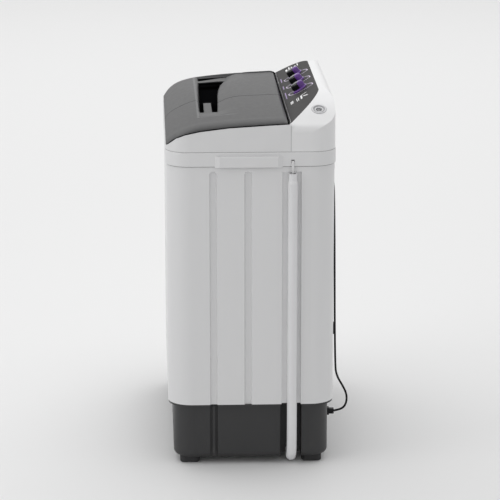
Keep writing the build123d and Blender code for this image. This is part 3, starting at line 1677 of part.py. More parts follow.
# Hook: a half-round saddle on the back wall with a flange that keeps the cord on
saddle_radius = hook_bend - cord_radius - contact_gap
hook_x = cord_x - hook_bend
hook_root = body_half_y - 1
with BuildPart() as cord_hook:
    with BuildSketch(Plane.XZ.offset(-hook_root)):
        with Locations((hook_x, hook_z)):
            Circle(saddle_radius)
            Circle(saddle_radius - wall, mode=Mode.SUBTRACT)
            with Locations((0, -hook_bend / 2)):
                Rectangle(2 * hook_bend, hook_bend, mode=Mode.SUBTRACT)
    extrude(amount=-(hook_out - hook_root))
    with BuildSketch(Plane.XZ.offset(-(hook_out - 2))):
        with Locations((hook_x, hook_z)):
            Circle(hook_bend + cord_radius)
            Circle(saddle_radius - wall, mode=Mode.SUBTRACT)
            with Locations((0, -hook_bend)):
                Rectangle(4 * hook_bend, 2 * hook_bend, mode=Mode.SUBTRACT)
    extrude(amount=-2)
    add(cabinet_shell.part, mode=Mode.SUBTRACT)
finish(cord_hook.part, "cord_hook")
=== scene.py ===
"""A twin tub washing machine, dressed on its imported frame: metres, +Z up, the floor at z = 0."""

import math

import bmesh
import bpy
from mathutils import Matrix, Vector


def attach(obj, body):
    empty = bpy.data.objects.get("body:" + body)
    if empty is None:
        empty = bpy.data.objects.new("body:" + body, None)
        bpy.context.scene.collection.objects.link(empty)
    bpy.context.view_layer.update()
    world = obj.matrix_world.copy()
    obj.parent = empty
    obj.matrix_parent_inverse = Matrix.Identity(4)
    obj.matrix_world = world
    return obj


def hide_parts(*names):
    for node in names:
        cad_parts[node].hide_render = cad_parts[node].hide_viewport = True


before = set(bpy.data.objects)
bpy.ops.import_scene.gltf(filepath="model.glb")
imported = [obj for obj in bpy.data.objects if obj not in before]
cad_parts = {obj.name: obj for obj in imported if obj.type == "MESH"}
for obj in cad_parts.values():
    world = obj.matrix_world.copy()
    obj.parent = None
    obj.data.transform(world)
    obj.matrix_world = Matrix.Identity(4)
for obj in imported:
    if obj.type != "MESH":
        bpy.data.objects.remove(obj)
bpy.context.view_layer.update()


# Base tray. The foot of the machine is one dark polypropylene moulding, shot in a
# tool with a fine spark texture, so it is matt with a soft sheen, a little scuffed
# low down where shoes and mops reach it.
class Reading:
    """One output of a shader node. Sums and products of readings add Math nodes."""

    def __init__(self, finish, socket):
        self.finish = finish
        self.socket = socket

    def math(self, operation, first, second):
        settings = {"operation": operation}
        return self.finish.node("ShaderNodeMath", settings, {0: first, 1: second})

    def __add__(self, other):
        return self.math("ADD", self, other)

    def __radd__(self, other):
        return self.math("ADD", other, self)

    def __sub__(self, other):
        return self.math("SUBTRACT", self, other)

    def __rsub__(self, other):
        return self.math("SUBTRACT", other, self)

    def __mul__(self, other):
        return self.math("MULTIPLY", self, other)

    def __rmul__(self, other):
        return self.math("MULTIPLY", other, self)

    def ramp(self, low, high, start=0.0, end=1.0):
        """start where the reading is low, end where it is high, and a soft step between."""
        settings = {"interpolation_type": "SMOOTHSTEP"}
        limits = {"Value": self, "From Min": low, "From Max": high, "To Min": start, "To Max": end}
        return self.finish.node("ShaderNodeMapRange", settings, limits)


class Finish:
    """A material in the making: its Principled shader and the nodes that vary it."""

    def __init__(self, name, **steady):
        """A new material: steady holds the shader's sockets that don't vary."""
        self.material = bpy.data.materials.new(name)
        self.material.use_nodes = True
        self.tree = self.material.node_tree
        self.shader = self.tree.nodes["Principled BSDF"]
        self.put(**steady)
        self.place = self.node("ShaderNodeTexCoord", {}, {}, "Object")
        self.x = self.node("ShaderNodeSeparateXYZ", {}, {"Vector": self.place}, "X")
        self.y = Reading(self, self.x.socket.node.outputs["Y"])
        self.z = Reading(self, self.x.socket.node.outputs["Z"])

    def node(self, kind, settings, sockets, output=0):
        """Adds a node: its settings first, then the values or links of its sockets."""
        made = self.tree.nodes.new(kind)
        for name, value in settings.items():
            setattr(made, name, value)
        for name, value in sockets.items():
            self.feed(made.inputs[name], value)
        return Reading(self, made.outputs[output])

    def feed(self, socket, value):
        """Links a reading to a socket, or sets the socket to a value."""
        if isinstance(value, Reading):
            self.tree.links.new(value.socket, socket)
        elif socket.type == "RGBA" and len(value) == 3:
            socket.default_value = (*value, 1.0)
        else:
            socket.default_value = value

    def put(self, **sockets):
        """Sets the shader's sockets: put(base_color=..., roughness=...)."""
        for name, value in sockets.items():
            label = name.replace("_", " ").title().replace("Ior", "IOR")
            self.feed(self.shader.inputs[label], value)

    def blotches(self, size, detail=2.0, stretch=None):
        """Even noise, from 0 to 1, with spots about size metres across."""
        vector = self.place
        if stretch:
            vector = self.node("ShaderNodeMapping", {}, {"Vector": vector, "Scale": stretch})
        sockets = {"Vector": vector, "Scale": 1.0 / size, "Detail": detail}
        return self.node("ShaderNodeTexNoise", {}, sockets)

    def between(self, first, second, mask):
        """A colour that goes from the first to the second as the mask goes from 0 to 1."""
        mixed = {0: mask, 6: first, 7: second}  # a colour Mix has its factor and colours there
        return self.node("ShaderNodeMix", {"data_type": "RGBA"}, mixed, 2)

    def relief(self, height, depth):
        """Raises the surface where height is 1, by depth metres, through the Normal."""
        made = {"Height": height, "Distance": depth, "Strength": 1.0}
        self.put(normal=self.node("ShaderNodeBump", {}, made))


def dress(finish, *nodes):
    """Gives CAD nodes their finish."""
    for node in nodes:
        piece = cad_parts[node]
        piece.data.materials.clear()
        piece.data.materials.append(finish.material)


def moulded(name, colour, roughness, grain=0.0006, depth=0.00002, mottle=0.06, **steady):
    """Moulded plastic, rubber or paint: a faint cloud in the colour and a fine grain."""
    cloud_size = 0.11
    shine_size = 0.012
    shine_spread = 0.08
    finish = Finish(name, **steady)
    cloud = finish.blotches(cloud_size, detail=3.0)
    paler = tuple(min(1.0, c * (1.0 + mottle)) for c in colour)
    darker = tuple(c * (1.0 - mottle) for c in colour)
    finish.put(base_color=finish.between(darker, paler, cloud.ramp(0.3, 0.7)))
    finish.put(roughness=roughness + (finish.blotches(shine_size) - 0.5) * shine_spread)
    finish.relief(finish.blotches(grain), depth)
    return finish


tray_plastic = moulded(
    "tray_plastic", (0.040, 0.040, 0.042),
    roughness=0.46, grain=0.0008, depth=0.00003,
)
tray_dark = (0.023, 0.023, 0.024)
tray_scuffed = (0.046, 0.045, 0.045)
scuff_size = 0.03
scuffs = tray_plastic.blotches(scuff_size, detail=4.0, stretch=(1.0, 1.0, 0.25)).ramp(0.62, 0.75)
low_down = tray_plastic.z.ramp(0.02, 0.09, 1.0, 0.0)
worn = tray_plastic.between(tray_dark, tray_scuffed, scuffs * low_down)
tray_plastic.put(base_color=worn)
dress(tray_plastic, "base_tray")


# Feet. Four rubber pads are pushed into the tray's sockets. They are dull, with a
# coarse grain and a slight cloud of dust in their black.
foot_rubber = moulded(
    "foot_rubber", (0.020, 0.020, 0.021),
    roughness=0.75, grain=0.0012, depth=0.00004, mottle=0.2,
)
dress(foot_rubber, "rubber_feet")


# Cabinet. The body is one tall white blow-moulded wall with pressed grooves, and a
# band around its top that the deck sits on. Its skin is satin, with the mould's faint
# grain. In the channel behind the hose its white is painted paler: painted light that
# lifts the shade of that recess.
body_white = (0.645, 0.645, 0.65)
# painted light: a paler white for the channel, where the recess falls in shade
channel_painted_light = (0.84, 0.84, 0.845)
cabinet_white = moulded(
    "cabinet_white", body_white,
    roughness=0.38, grain=0.0009, depth=0.00001, mottle=0.012,
)
# the channel on the hose's side, as a mask: there the white is painted paler, as painted light
channel_light_mask = cabinet_white.y.ramp(0.0835, 0.0865) * cabinet_white.y.ramp(0.1375, 0.1405, 1.0, 0.0)
channel_light_mask = channel_light_mask * cabinet_white.x.ramp(0.400, 0.410) * cabinet_white.z.ramp(0.8490, 0.8510, 1.0, 0.0)
cabinet_white.put(base_color=cabinet_white.between(body_white, channel_painted_light, channel_light_mask))
dress(cabinet_white, "cabinet_shell")


# Rear cover. A loose panel closes the motor space at the back. It is moulded in the
# same white plastic, a little duller, with louvres, and is screwed on.
cover_white = moulded(
    "cover_white", (0.56, 0.56, 0.57),
    roughness=0.45, grain=0.0009, depth=0.00002, mottle=0.02,
)
dress(cover_white, "rear_cover")


# Cover screws. Plated steel screws hold the rear cover on. Zinc plating is bright,
# with a soft cloud in its roughness and a fine grain.
def plated(name, colour, roughness, spread=0.12):
    """Bright plated steel with a cloudy shine and a fine rough grain."""
    cloud_size = 0.006
    shine_size = 0.004
    grain = 0.0005
    depth = 0.00001
    finish = Finish(name, metallic=1.0, base_color=colour)
    darker = tuple(c * 0.82 for c in colour)
    finish.put(base_color=finish.between(darker, colour, finish.blotches(cloud_size, detail=3.0)))
    shine = finish.blotches(shine_size, detail=3.0)
    finish.put(roughness=roughness + (shine - 0.5) * spread)
    finish.relief(finish.blotches(grain), depth)
    return finish


zinc = plated("zinc", (0.62, 0.61, 0.58), roughness=0.32)
dress(zinc, "cover_screws")


# Carry grips. Two white moulded troughs clip over the band, one on each side, and
# give the hands a hold when the machine is moved.
grip_white = moulded(
    "grip_white", body_white,
    roughness=0.34, grain=0.0009, depth=0.00001, mottle=0.012,
)
dress(grip_white, "carry_grips")


# Top deck. One white moulding stands on the cabinet's band. The lids close on it, and
# it has the mouths of both tubs and the ears that the lids are hinged on.
deck_white = moulded(
    "deck_white", body_white,
    roughness=0.32, grain=0.0009, depth=0.00001, mottle=0.012,
)
dress(deck_white, "top_deck")


# Wash tub and its fittings. The tub is one white polypropylene moulding, glossier than
# the cabinet. A grey strainer and an overflow cover clip to its wall, and a grey
# pulsator turns on its floor.
tub_white = moulded(
    "tub_white", (0.66, 0.67, 0.68),
    roughness=0.26, grain=0.0011, depth=0.00001, mottle=0.02,
)
dress(tub_white, "wash_tub")
strainer_grey = moulded(
    "strainer_grey", (0.34, 0.36, 0.39),
    roughness=0.36, grain=0.0009, depth=0.00002,
)
dress(strainer_grey, "overflow_cover", "lint_filter")
pulsator_grey = moulded(
    "pulsator_grey", (0.30, 0.33, 0.38),
    roughness=0.30, grain=0.0009, depth=0.00002,
)
dress(pulsator_grey, "pulsator")


# Drives. Under the tubs are a cast gearbox and two painted motors, on plates and
# brackets of galvanised steel. Shafts and pins are bright steel, pulleys are grey
# plastic, and the belt, the seal, the mounts and the bellows are black rubber.
cast_grey = moulded(
    "cast_grey", (0.26, 0.27, 0.28),
    roughness=0.52, grain=0.0016, depth=0.00012, mottle=0.1, metallic=0.6,
)
dress(cast_grey, "wash_gearbox", "brake_drum")
motor_paint = moulded(
    "motor_paint", (0.035, 0.036, 0.038),
    roughness=0.42, grain=0.0014, depth=0.00006, mottle=0.15,
)
dress(motor_paint, "wash_motor", "spin_motor")
pulley_grey = moulded("pulley_grey", (0.22, 0.22, 0.22), roughness=0.45, grain=0.0010, depth=0.00003)
dress(pulley_grey, "gearbox_pulley", "motor_pulley")
galvanised = plated("galvanised", (0.52, 0.53, 0.54), roughness=0.42)
dress(galvanised, "drive_bracket", "motor_plate", "brake_bracket", "brake_arm")
steel = plated("steel", (0.66, 0.66, 0.67), roughness=0.22)
dress(steel, "wash_shaft", "spin_shaft", "hinge_pins")
belt_rubber = moulded(
    "belt_rubber", (0.016, 0.016, 0.017),
    roughness=0.62, grain=0.0008, depth=0.00004, mottle=0.2,
)
dress(
    belt_rubber, "drive_belt", "wash_shaft_seal", "motor_mounts", "motor_boots", "shaft_bellows",
    "brake_cable",
)


# Drain. A grey moulded valve body holds a white plunger, and soft grey pipes are
# pushed onto its ports.
drain_grey = moulded("drain_grey", (0.30, 0.31, 0.32), roughness=0.44, grain=0.0010, depth=0.00003)
dress(drain_grey, "drain_valve", "tub_drain_pipes", "outlet_pipe")
dress(tub_white, "valve_plunger")


# Spin tub and basket. A white moulded tub holds a grey basket with rows of holes and
# a balance ring round its mouth. The spin motor's lid switch and capacitor are here too.
dress(tub_white, "spin_tub")
basket_grey = moulded("basket_grey", (0.42, 0.43, 0.45), roughness=0.30, grain=0.0010, depth=0.00002)
dress(basket_grey, "spin_basket")
dress(strainer_grey, "balance_ring")
dress(motor_paint, "lid_switch")
dress(cover_white, "capacitor")


# Console. A white housing stands behind the lids like a loaf, with a dark panel let
# into its slope and a round fill dish on each hip. All of it is satin moulded plastic.
console_white = moulded(
    "console_white", (0.69, 0.69, 0.695),
    roughness=0.34, grain=0.0009, depth=0.00001, mottle=0.012,
)
dress(console_white, "console_housing")
dress(tub_white, "inlet_troughs")
dish_white = moulded(
    "dish_white", (0.60, 0.60, 0.61),
    roughness=0.42, grain=0.0009, depth=0.00001, mottle=0.012,
)
dress(dish_white, "water_inlets")
dress(cover_white, "wash_timer", "drain_selector", "spin_timer")


# Control panel. A warm dark grey plastic plate with a fine grain, let into the
# console's slope. Its marks are printed in pale ink: a leaf round each knob, lilac
# bars and a few plain signs.
panel_grey = moulded(
    "panel_grey", (0.030, 0.028, 0.028),
    roughness=0.55, grain=0.0005, depth=0.00002, mottle=0.10, specular_ior_level=0.10,
)
dress(panel_grey, "control_panel")
console_front = 0.1094
panel_foot_z = 0.982
panel_run = 0.0908
panel_rise = 0.066
panel_slope = math.atan2(panel_rise, panel_run)
panel_foot = Matrix.Translation((0.0, console_front, panel_foot_z))
panel_face = panel_foot @ Matrix.Rotation(panel_slope, 4, "X")
bar_stand = 0.00015
leaf_stand = 0.0002


def new_piece(name, form, finishes, body="cabinet", smooth=40.0):
    """Turns a finished bmesh into an object with its finishes, riding on a body."""
    mesh = bpy.data.meshes.new(name)
    form.to_mesh(mesh)
    form.free()
    for finish in finishes:
        mesh.materials.append(finish.material)
    mesh.polygons.foreach_set("use_smooth", [True] * len(mesh.polygons))
    mesh.set_sharp_from_angle(angle=math.radians(smooth))
    piece = bpy.data.objects.new(name, mesh)
    bpy.context.scene.collection.objects.link(piece)
    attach(piece, body)
    return piece


def sheet(form, place):
    """One flat square face, a metre wide before the matrix sizes and places it."""
    return bmesh.ops.create_grid(form, x_segments=1, y_segments=1, size=0.5, matrix=place)


def thicken(piece, name, thickness, offset=-1.0):
    """Gives a piece made of one skin its wall."""
    wall = piece.modifiers.new(name, "SOLIDIFY")
    wall.thickness = thickness
    wall.offset = offset


def printed_bar(form, x, up, length, width, turn=0.0):
    """A flat bar of ink on the panel, length across the machine before it is turned."""
    place = panel_face @ Matrix.Translation((x, up, bar_stand)) @ Matrix.Rotation(turn, 4, "Z")
    sheet(form, place @ Matrix.Diagonal((length, width, 1.0, 1.0)))


def printed_leaf(form, x, up, length, width, turn, line):
    """The outline of a pointed leaf on the panel, line wide along its sides."""
    place = panel_face @ Matrix.Translation((x, up, leaf_stand)) @ Matrix.Rotation(turn, 4, "Z")
    pointed = 0.6
    line_at_points = 2.2
    rims = []
    for inset in (0.0, line):
        ring = bmesh.ops.create_circle(form, segments=64, radius=1.0)["verts"]
        for vert in ring:
            across = vert.co.x
            vert.co.x = across * abs(across) ** pointed * (width / 2 - inset)
            vert.co.y *= length / 2 - line_at_points * inset
        rims += {edge for vert in ring for edge in vert.link_edges}
        bmesh.ops.transform(form, matrix=place, verts=ring)
    bmesh.ops.bridge_loops(form, edges=rims)


ink_lilac = moulded("ink_lilac", (0.34, 0.24, 0.48), roughness=0.45, grain=0.0006, depth=0.00001)
ink_pale = moulded("ink_pale", (0.62, 0.54, 0.70), roughness=0.45, grain=0.0006, depth=0.00001)
ink_white = moulded("ink_white", (0.80, 0.80, 0.80), roughness=0.45, grain=0.0006, depth=0.00001)
knobs = {"wash_timer_knob": -0.170, "drain_selector_knob": -0.050, "spin_timer_knob": 0.070}

leaves = bmesh.new()
for knob_x in knobs.values():
    printed_leaf(leaves, knob_x + 0.005, 0.059, length=0.123, width=0.048, turn=-0.866, line=0.0021)
new_piece("panel_leaves", leaves, [ink_pale])

bars = bmesh.new()
for bar_x, bar_length in ((-0.231, 0.062), (-0.108, 0.055), (0.026, 0.096)):
    printed_bar(bars, bar_x, 0.0105, length=bar_length, width=0.0030)
new_piece("panel_bars", bars, [ink_lilac])

# signs at the right, then five bars at the left, as (x, up, length, width, turn)
signs = bmesh.new()
for step in range(3):
    printed_bar(signs, 0.160 + 0.013 * step, 0.0215, length=0.009, width=0.0095)
for step in range(2):
    printed_bar(signs, 0.184, 0.038 + 0.005 * step, length=0.044, width=0.0024)
for sign in (
    (0.186, 0.053, 0.050, 0.0050, 0.0),
    (0.164, 0.063, 0.0055, 0.018, 0.0),
    (0.198, 0.066, 0.030, 0.0050, 0.5),
    (-0.330, 0.036, 0.030, 0.006, 0.0),
    (-0.335, 0.046, 0.040, 0.004, 0.0),
    (-0.322, 0.054, 0.024, 0.004, 0.0),
    (-0.300, 0.066, 0.030, 0.005, 0.0),
    (-0.306, 0.075, 0.040, 0.003, 0.0),
):
    printed_bar(signs, *sign)
new_piece("panel_signs", signs, [ink_white])


# Inlet bowls and roses. The bowl that the fill hose is pushed into is a white round
# moulding, painted a darker grey as painted shade in its hollow, and a pale snap-in
# rose, one plate with rings of slots, keeps grit out of it.
rose_white = moulded(
    "rose_white", (0.62, 0.62, 0.63),
    roughness=0.40, grain=0.0009, depth=0.00001, mottle=0.02,
)
# painted shade: the bowl's white is laid darker for the shade in its hollow
bowl_shaded_white = moulded(
    "bowl_shaded_white", (0.40, 0.40, 0.41),
    roughness=0.36, grain=0.0009, depth=0.00001, mottle=0.02,
)
inlet_x = 0.370
inlet_y = 0.190
inlet_z = 1.0121
inlet_tilt = math.radians(26.2)
rose_drop = 0.0034
rose_wall = 0.0008
rose_rings = ((0.0, 0.0030), (0.0036, 0.0058), (0.0064, 0.0089))
spoke_count = 4
spoke_length = 0.0164
spoke_width = 0.0009
# the bowl's line from its outer rim down to its mouth, as (radius, height)
bowl_line = [
    (0.0214, -0.0006), (0.0214, 0.0001), (0.0208, 0.0004), (0.0198, 0.0001), (0.0180, -0.0008),
    (0.0155, -0.0019), (0.0125, -0.0028), (0.0100, -0.0032), (0.0094, -0.0036), (0.0094, -0.0060),
]


def rose_form():
    """A round plate of rings, inner and outer radius each, held by spokes."""
    form = bmesh.new()
    for inner, outer in rose_rings:
        ring = bmesh.ops.create_circle(form, cap_ends=True, segments=48, radius=outer)
        face = ring["verts"][0].link_faces[0]
        if inner:
            bmesh.ops.inset_region(form, faces=[face], thickness=outer - inner)
            form.faces.remove(face)
    for step in range(spoke_count):
        turn = Matrix.Rotation(math.pi / spoke_count * step, 4, "Z")
        sheet(form, turn @ Matrix.Diagonal((spoke_length, spoke_width, 1.0, 1.0)))
    return form


def bowl_form():
    """The bowl's line turned round its axis."""
    form = bmesh.new()
    line = [form.verts.new((radius, 0.0, height)) for radius, height in bowl_line]
    edges = [form.edges.new(pair) for pair in zip(line, line[1:])]
    bmesh.ops.spin(
        form, geom=line + edges, cent=(0.0, 0.0, 0.0), axis=(0.0, 0.0, 1.0),
        angle=math.tau, steps=64, use_merge=True,
    )
    bmesh.ops.recalc_face_normals(form, faces=form.faces)
    return form


for side, name in ((-1.0, "left_inlet"), (1.0, "right_inlet")):
    seat = Matrix.Translation((side * inlet_x, inlet_y, inlet_z))
    seat = seat @ Matrix.Rotation(side * inlet_tilt, 4, "Y")
    form = rose_form()
    bmesh.ops.transform(form, matrix=seat @ Matrix.Translation((0.0, 0.0, -rose_drop)), verts=form.verts)
    thicken(new_piece(f"{name}_rose", form, [rose_white]), "plate", rose_wall)
    form = bowl_form()
    bmesh.ops.transform(form, matrix=seat, verts=form.verts)
    new_piece(f"{name}_bowl", form, [bowl_shaded_white])


# Knobs. Each is a purple skirt with an oval grip and a domed top: the grip's front
# part is coloured gloss black and the part behind it purple.
knob_black = moulded("knob_black", (0.010, 0.010, 0.011), roughness=0.14, grain=0.0008, depth=0.00001)
knob_purple = moulded(
    "knob_purple", (0.105, 0.030, 0.230),
    roughness=0.24, grain=0.0008, depth=0.00001, mottle=0.08,
)
knob_up = 0.058
knob_stand = 0.0003
knob_turn = -0.45
skirt_radius = 0.0228
skirt_steps = ((0.0030, 0.985), (0.0012, 0.96), (0.0006, 0.92))
grip_half_width = 0.0135
grip_half_length = 0.0215
grip_foot = 0.0035
grip_steps = ((0.0120, 0.97), (0.0040, 0.96), (0.0024, 0.90), (0.0012, 0.80), (0.0005, 0.6))
purple_from_y = 0.0075


def disc(form, radius):
    """A round face of 64 sides."""
    return bmesh.ops.create_circle(form, cap_ends=True, segments=64, radius=radius)["verts"]


def grow_up(form, top, steps):
    """Grows a face upward in steps: each is a rise and the share that its outline keeps."""
    for rise, share in steps:
        top = bmesh.ops.extrude_discrete_faces(form, faces=[top])["faces"][0]
        bmesh.ops.translate(form, verts=top.verts, vec=(0.0, 0.0, rise))
        middle = Matrix.Translation(-top.calc_center_median())
        bmesh.ops.scale(form, verts=top.verts, vec=(share, share, 1.0), space=middle)


for body, knob_x in knobs.items():
    form = bmesh.new()
    skirt = disc(form, skirt_radius)
    grow_up(form, skirt[0].link_faces[0], skirt_steps)
    for face in form.faces:
        face.material_index = 1
    grip = disc(form, 1.0)
    for vert in grip:
        vert.co.x *= grip_half_width
        vert.co.y *= grip_half_length
        vert.co.z = grip_foot
    grow_up(form, grip[0].link_faces[0], grip_steps)
    for face in form.faces:
        if face.material_index == 0 and face.calc_center_median().y > purple_from_y:
            face.material_index = 1
    bmesh.ops.recalc_face_normals(form, faces=form.faces)
    seat = panel_face @ Matrix.Translation((knob_x, knob_up, knob_stand))
    bmesh.ops.transform(form, matrix=seat @ Matrix.Rotation(knob_turn, 4, "Z"), verts=form.verts)
    knob = new_piece(f"{body}_grip", form, [knob_black, knob_purple], body)
    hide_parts(body)


# Joints between the big mouldings. The deck butts against the console at the side and
# stands on the band, and the band laps the body. Each joint's shadow is painted shade:
# a thin dark grey strip laid along it.
joint_shadow_grey = moulded("joint_shadow_grey", (0.22, 0.22, 0.22), roughness=0.6, grain=0.0009, depth=0.00001)
joint_x = 0.43812
joint_middle_z = 0.943
joint_width = 0.0009
joint_height = 0.072
joint_shadows = bmesh.new()
for side in (-1.0, 1.0):
    place = Matrix.Translation((side * joint_x, console_front, joint_middle_z))
    place = place @ Matrix.Diagonal((1.0, joint_width, joint_height, 1.0))
    sheet(joint_shadows, place @ Matrix.Rotation(math.pi / 2, 4, "Y"))
new_piece("console_joint_shadows", joint_shadows, [joint_shadow_grey])


def joint_shadow_line(name, half_x, half_y, corner, low, high):
    """A thin upright ring round the machine, with rounded corners, painted as a joint's shadow."""
    form = bmesh.new()
    outline = Matrix.Translation((0.0, 0.0, low)) @ Matrix.Diagonal((2 * half_x, 2 * half_y, 1.0, 1.0))
    made = sheet(form, outline)
    bmesh.ops.bevel(
        form, geom=made["verts"], offset=corner, offset_type="OFFSET", segments=16, profile=0.5,
        affect="VERTICES", material=-1,
    )
    rims = [edge for edge in form.edges if edge.is_boundary]
    grown = bmesh.ops.extrude_edge_only(form, edges=rims)
    risen = [item for item in grown["geom"] if isinstance(item, bmesh.types.BMVert)]
    bmesh.ops.translate(form, verts=risen, vec=(0.0, 0.0, high - low))
    flat = [face for face in form.faces if len(face.verts) > 4]
    bmesh.ops.delete(form, geom=flat, context="FACES_ONLY")
    new_piece(name, form, [joint_shadow_grey])


joint_shadow_line("deck_joint_shadow", half_x=0.43815, half_y=0.23565, corner=0.066, low=0.9050, high=0.9060)
joint_shadow_line("band_joint_shadow", half_x=0.43735, half_y=0.23435, corner=0.065, low=0.8640, high=0.8652)


# Lids. Two smoked grey moulded covers with a wide soft crown are hinged in front of
# the console and meet at a seam. A finger scoop crosses both: a lip in front, an
# opening behind it and a surface that swells back up.
lid_tone = (0.034, 0.034, 0.035)
# painted highlight: the paler grey laid on the lip's edge
lip_highlight_tone = (0.110, 0.110, 0.112)
lid_grey = moulded(
    "lid_grey", lid_tone,
    roughness=0.34, grain=0.0008, depth=0.00001, mottle=0.03, specular_ior_level=0.085,
)
# painted shade: a black with no shine, for the well trays and for the gaps round the lids
black_well_and_gap_shade = moulded(
    "black_well_and_gap_shade", (0.003, 0.003, 0.0034),
    roughness=0.60, grain=0.0008, depth=0.00002, specular_ior_level=0.0,
)
# the edge of the scoop's lip is painted paler in patches: a painted highlight where its round edge
# catches the light
lip_highlight_mask = lid_grey.y.ramp(-0.1470, -0.1440) * lid_grey.y.ramp(-0.1415, -0.1380, 1.0, 0.0)
lip_highlight_mask = lip_highlight_mask * lid_grey.x.ramp(-0.415, -0.385) * lid_grey.x.ramp(0.284, 0.296, 1.0, 0.0)
highlight_patches = lid_grey.blotches(0.006).ramp(0.2, 0.7, 0.7, 1.0)
lid_grey.put(base_color=lid_grey.between(lid_tone, lip_highlight_tone, lip_highlight_mask * highlight_patches))
lid_half = 0.436
lid_front = -0.2355
lid_corner = 0.064
lid_wall = 0.0026
lid_gap = 0.0012
# width of the painted shade along the lids' side rims
rim_shade_band = 0.002
# the lids' middle line, round the front edge and then back to the hinge, as (y, z)
nose = [
    (-0.2350, 0.9190), (-0.2349, 0.9240), (-0.2338, 0.9285), (-0.2312, 0.9335), (-0.2268, 0.9390),
    (-0.2200, 0.9453), (-0.2120, 0.9510), (-0.2020, 0.9572), (-0.1900, 0.9636), (-0.1780, 0.9694),
    (-0.1660, 0.9742), (-0.1540, 0.9780),
]
crown = [
    (-0.154, 0.9780), (-0.140, 0.9814), (-0.120, 0.9838), (-0.090, 0.9867), (-0.050, 0.9899),
    (-0.018, 0.9928), (0.028, 0.9947), (0.060, 0.9960), (0.088, 0.9970),
]
crown_front, crown_back = crown[0][0], crown[-1][0]
# the deck's edge that the lids' rim follows, as (y, z)
split = [
    (-0.240, 0.9145), (-0.2333, 0.9180), (-0.2264, 0.9250), (-0.218, 0.9344), (-0.207, 0.9426),
    (-0.196, 0.9484), (-0.182, 0.9533), (-0.169, 0.9566), (-0.141, 0.9622), (-0.100, 0.9677),
    (-0.059, 0.9721), (-0.004, 0.9759), (0.051, 0.9788), (0.106, 0.9820),
]
# towards its sides a lid drops gently as far as the roll, and then rounds down to the rim
side_roll = 0.075
gentle_share = 0.42
roll_share = 0.992
roll_reach = 0.9106
# the tail turns down round the hinge
hinge_z = 0.9798
hinge_round = 0.0172
hinge_sweep = 80.0
# the lip comes a little forward from left to right, and falls in steps of (y, share)
lip_back = -0.131
lip_forward = 0.006
lip_start = -0.40
lip_run = 0.60
lip_steps = ((-0.0100, 0.0), (-0.0072, 0.10), (-0.0032, 0.46), (0.0014, 1.0))
# the scoop's floor rises a little towards the rear, and fades at its two ends
scoop_floor = 0.9722
floor_rise = 0.0010
floor_rise_start = -0.13
floor_rise_run = 0.04
scoop_left = -0.418
scoop_left_fade = 0.020
scoop_right = 0.296
scoop_right_fade = 0.014
shallow_share = 0.50
shallow_start = 0.19
shallow_run = 0.09
# the opening: its slot and tongue behind the lip, and its rear edge as (x, y)
slot_front = 0.0020
slot_back = 0.0125
tongue_back = -0.1015
rear_edge = [
    (-0.400, -0.014), (-0.372, -0.030), (-0.345, -0.044), (-0.300, -0.055), (-0.245, -0.066),
    (-0.160, -0.074), (-0.070, -0.079), (0.210, -0.087),
]
# behind it the surface swells back up to the crown, in pairs of (place, share)
slope_run = 0.062
slope_back = -0.018
swell = [(0.0, 0.0), (0.12, 0.26), (0.30, 0.60), (0.50, 0.83), (0.75, 0.96), (1.0, 1.0)]
# towards the rear the scoop's left end leans outward
lean = 0.045
lean_x = -0.345
lean_reach = 0.05
lean_start = -0.135
lean_run = 0.11
# rows of the lid from the front edge to the rear: kind and place between its limits
rows = [("nose", step) for step in range(len(nose))]
rows += [("front", step / 3) for step in range(1, 3)]
rows += [("lip", step) for step in range(len(lip_steps))]
rows += [("slot", step / 3) for step in range(0, 4)]
rows += [("tongue", step / 5) for step in range(1, 6)]
rows += [("gap", step / 4) for step in range(1, 5)]
rows += [("slope", step / 16) for step in range(1, 17)]
rows += [("top", step / 16) for step in range(1, 17)]
rows += [("tail", step / 7) for step in range(1, 8)]


def along(points, at):
    """The second value of a list of pairs at a given first value, on straight pieces."""
    for (start, low), (end, high) in zip(points, points[1:]):
        if at <= end:
            break
    share = min(1.0, max(0.0, (at - start) / (end - start)))
    return low + (high - low) * share


def soft(value):
    """An even step from 0 to 1 with soft ends."""
    value = min(1.0, max(0.0, value))
    return value * value * (3.0 - 2.0 * value)


def lip_y(x):
    """Where the lip runs at x."""
    return lip_back - lip_forward * soft((x - lip_start) / lip_run)


def scoop_share(x):
    """How deep the scoop is at x: full at the openings, fading towards its two ends."""
    ends = soft((scoop_right - x) / scoop_right_fade) * soft((x - scoop_left) / scoop_left_fade)
    return ends * (1.0 - shallow_share * soft((x - shallow_start) / shallow_run))


def row_place(kind, step, x):
    """The (y, z) of a row over x, before the side of the lid rolls down."""
    lip = lip_y(x)
    rear = along(rear_edge, x)
    slope_end = max(rear + slope_run, slope_back)
    deep = scoop_share(x)
    limits = {
        "front": (crown_front, lip + lip_steps[0][0]),
        "slot": (lip + slot_front, lip + slot_back),
        "tongue": (lip + slot_back, tongue_back),
        "gap": (tongue_back, rear),
        "slope": (rear, slope_end),
        "top": (slope_end, crown_back),
    }
    if kind == "nose":
        return nose[step]
    if kind == "tail":
        turn = math.radians(hinge_sweep * step)
        return crown_back + hinge_round * math.sin(turn), hinge_z + hinge_round * math.cos(turn)
    if kind == "lip":
        behind, fall = lip_steps[step]
        crest = along(crown, lip + behind)
        return lip + behind, crest - fall * deep * (crest - scoop_floor)
    low, high = limits[kind]
    y = low + (high - low) * step
    crest = along(crown, y)
    if kind in ("slot", "tongue", "gap"):
        risen = floor_rise * soft((y - floor_rise_start) / floor_rise_run)
        return y, crest - deep * (crest - scoop_floor - risen)
    if kind == "slope":
        return y, crest - deep * (1.0 - along(swell, step)) * (crest - scoop_floor - floor_rise)
    return y, crest


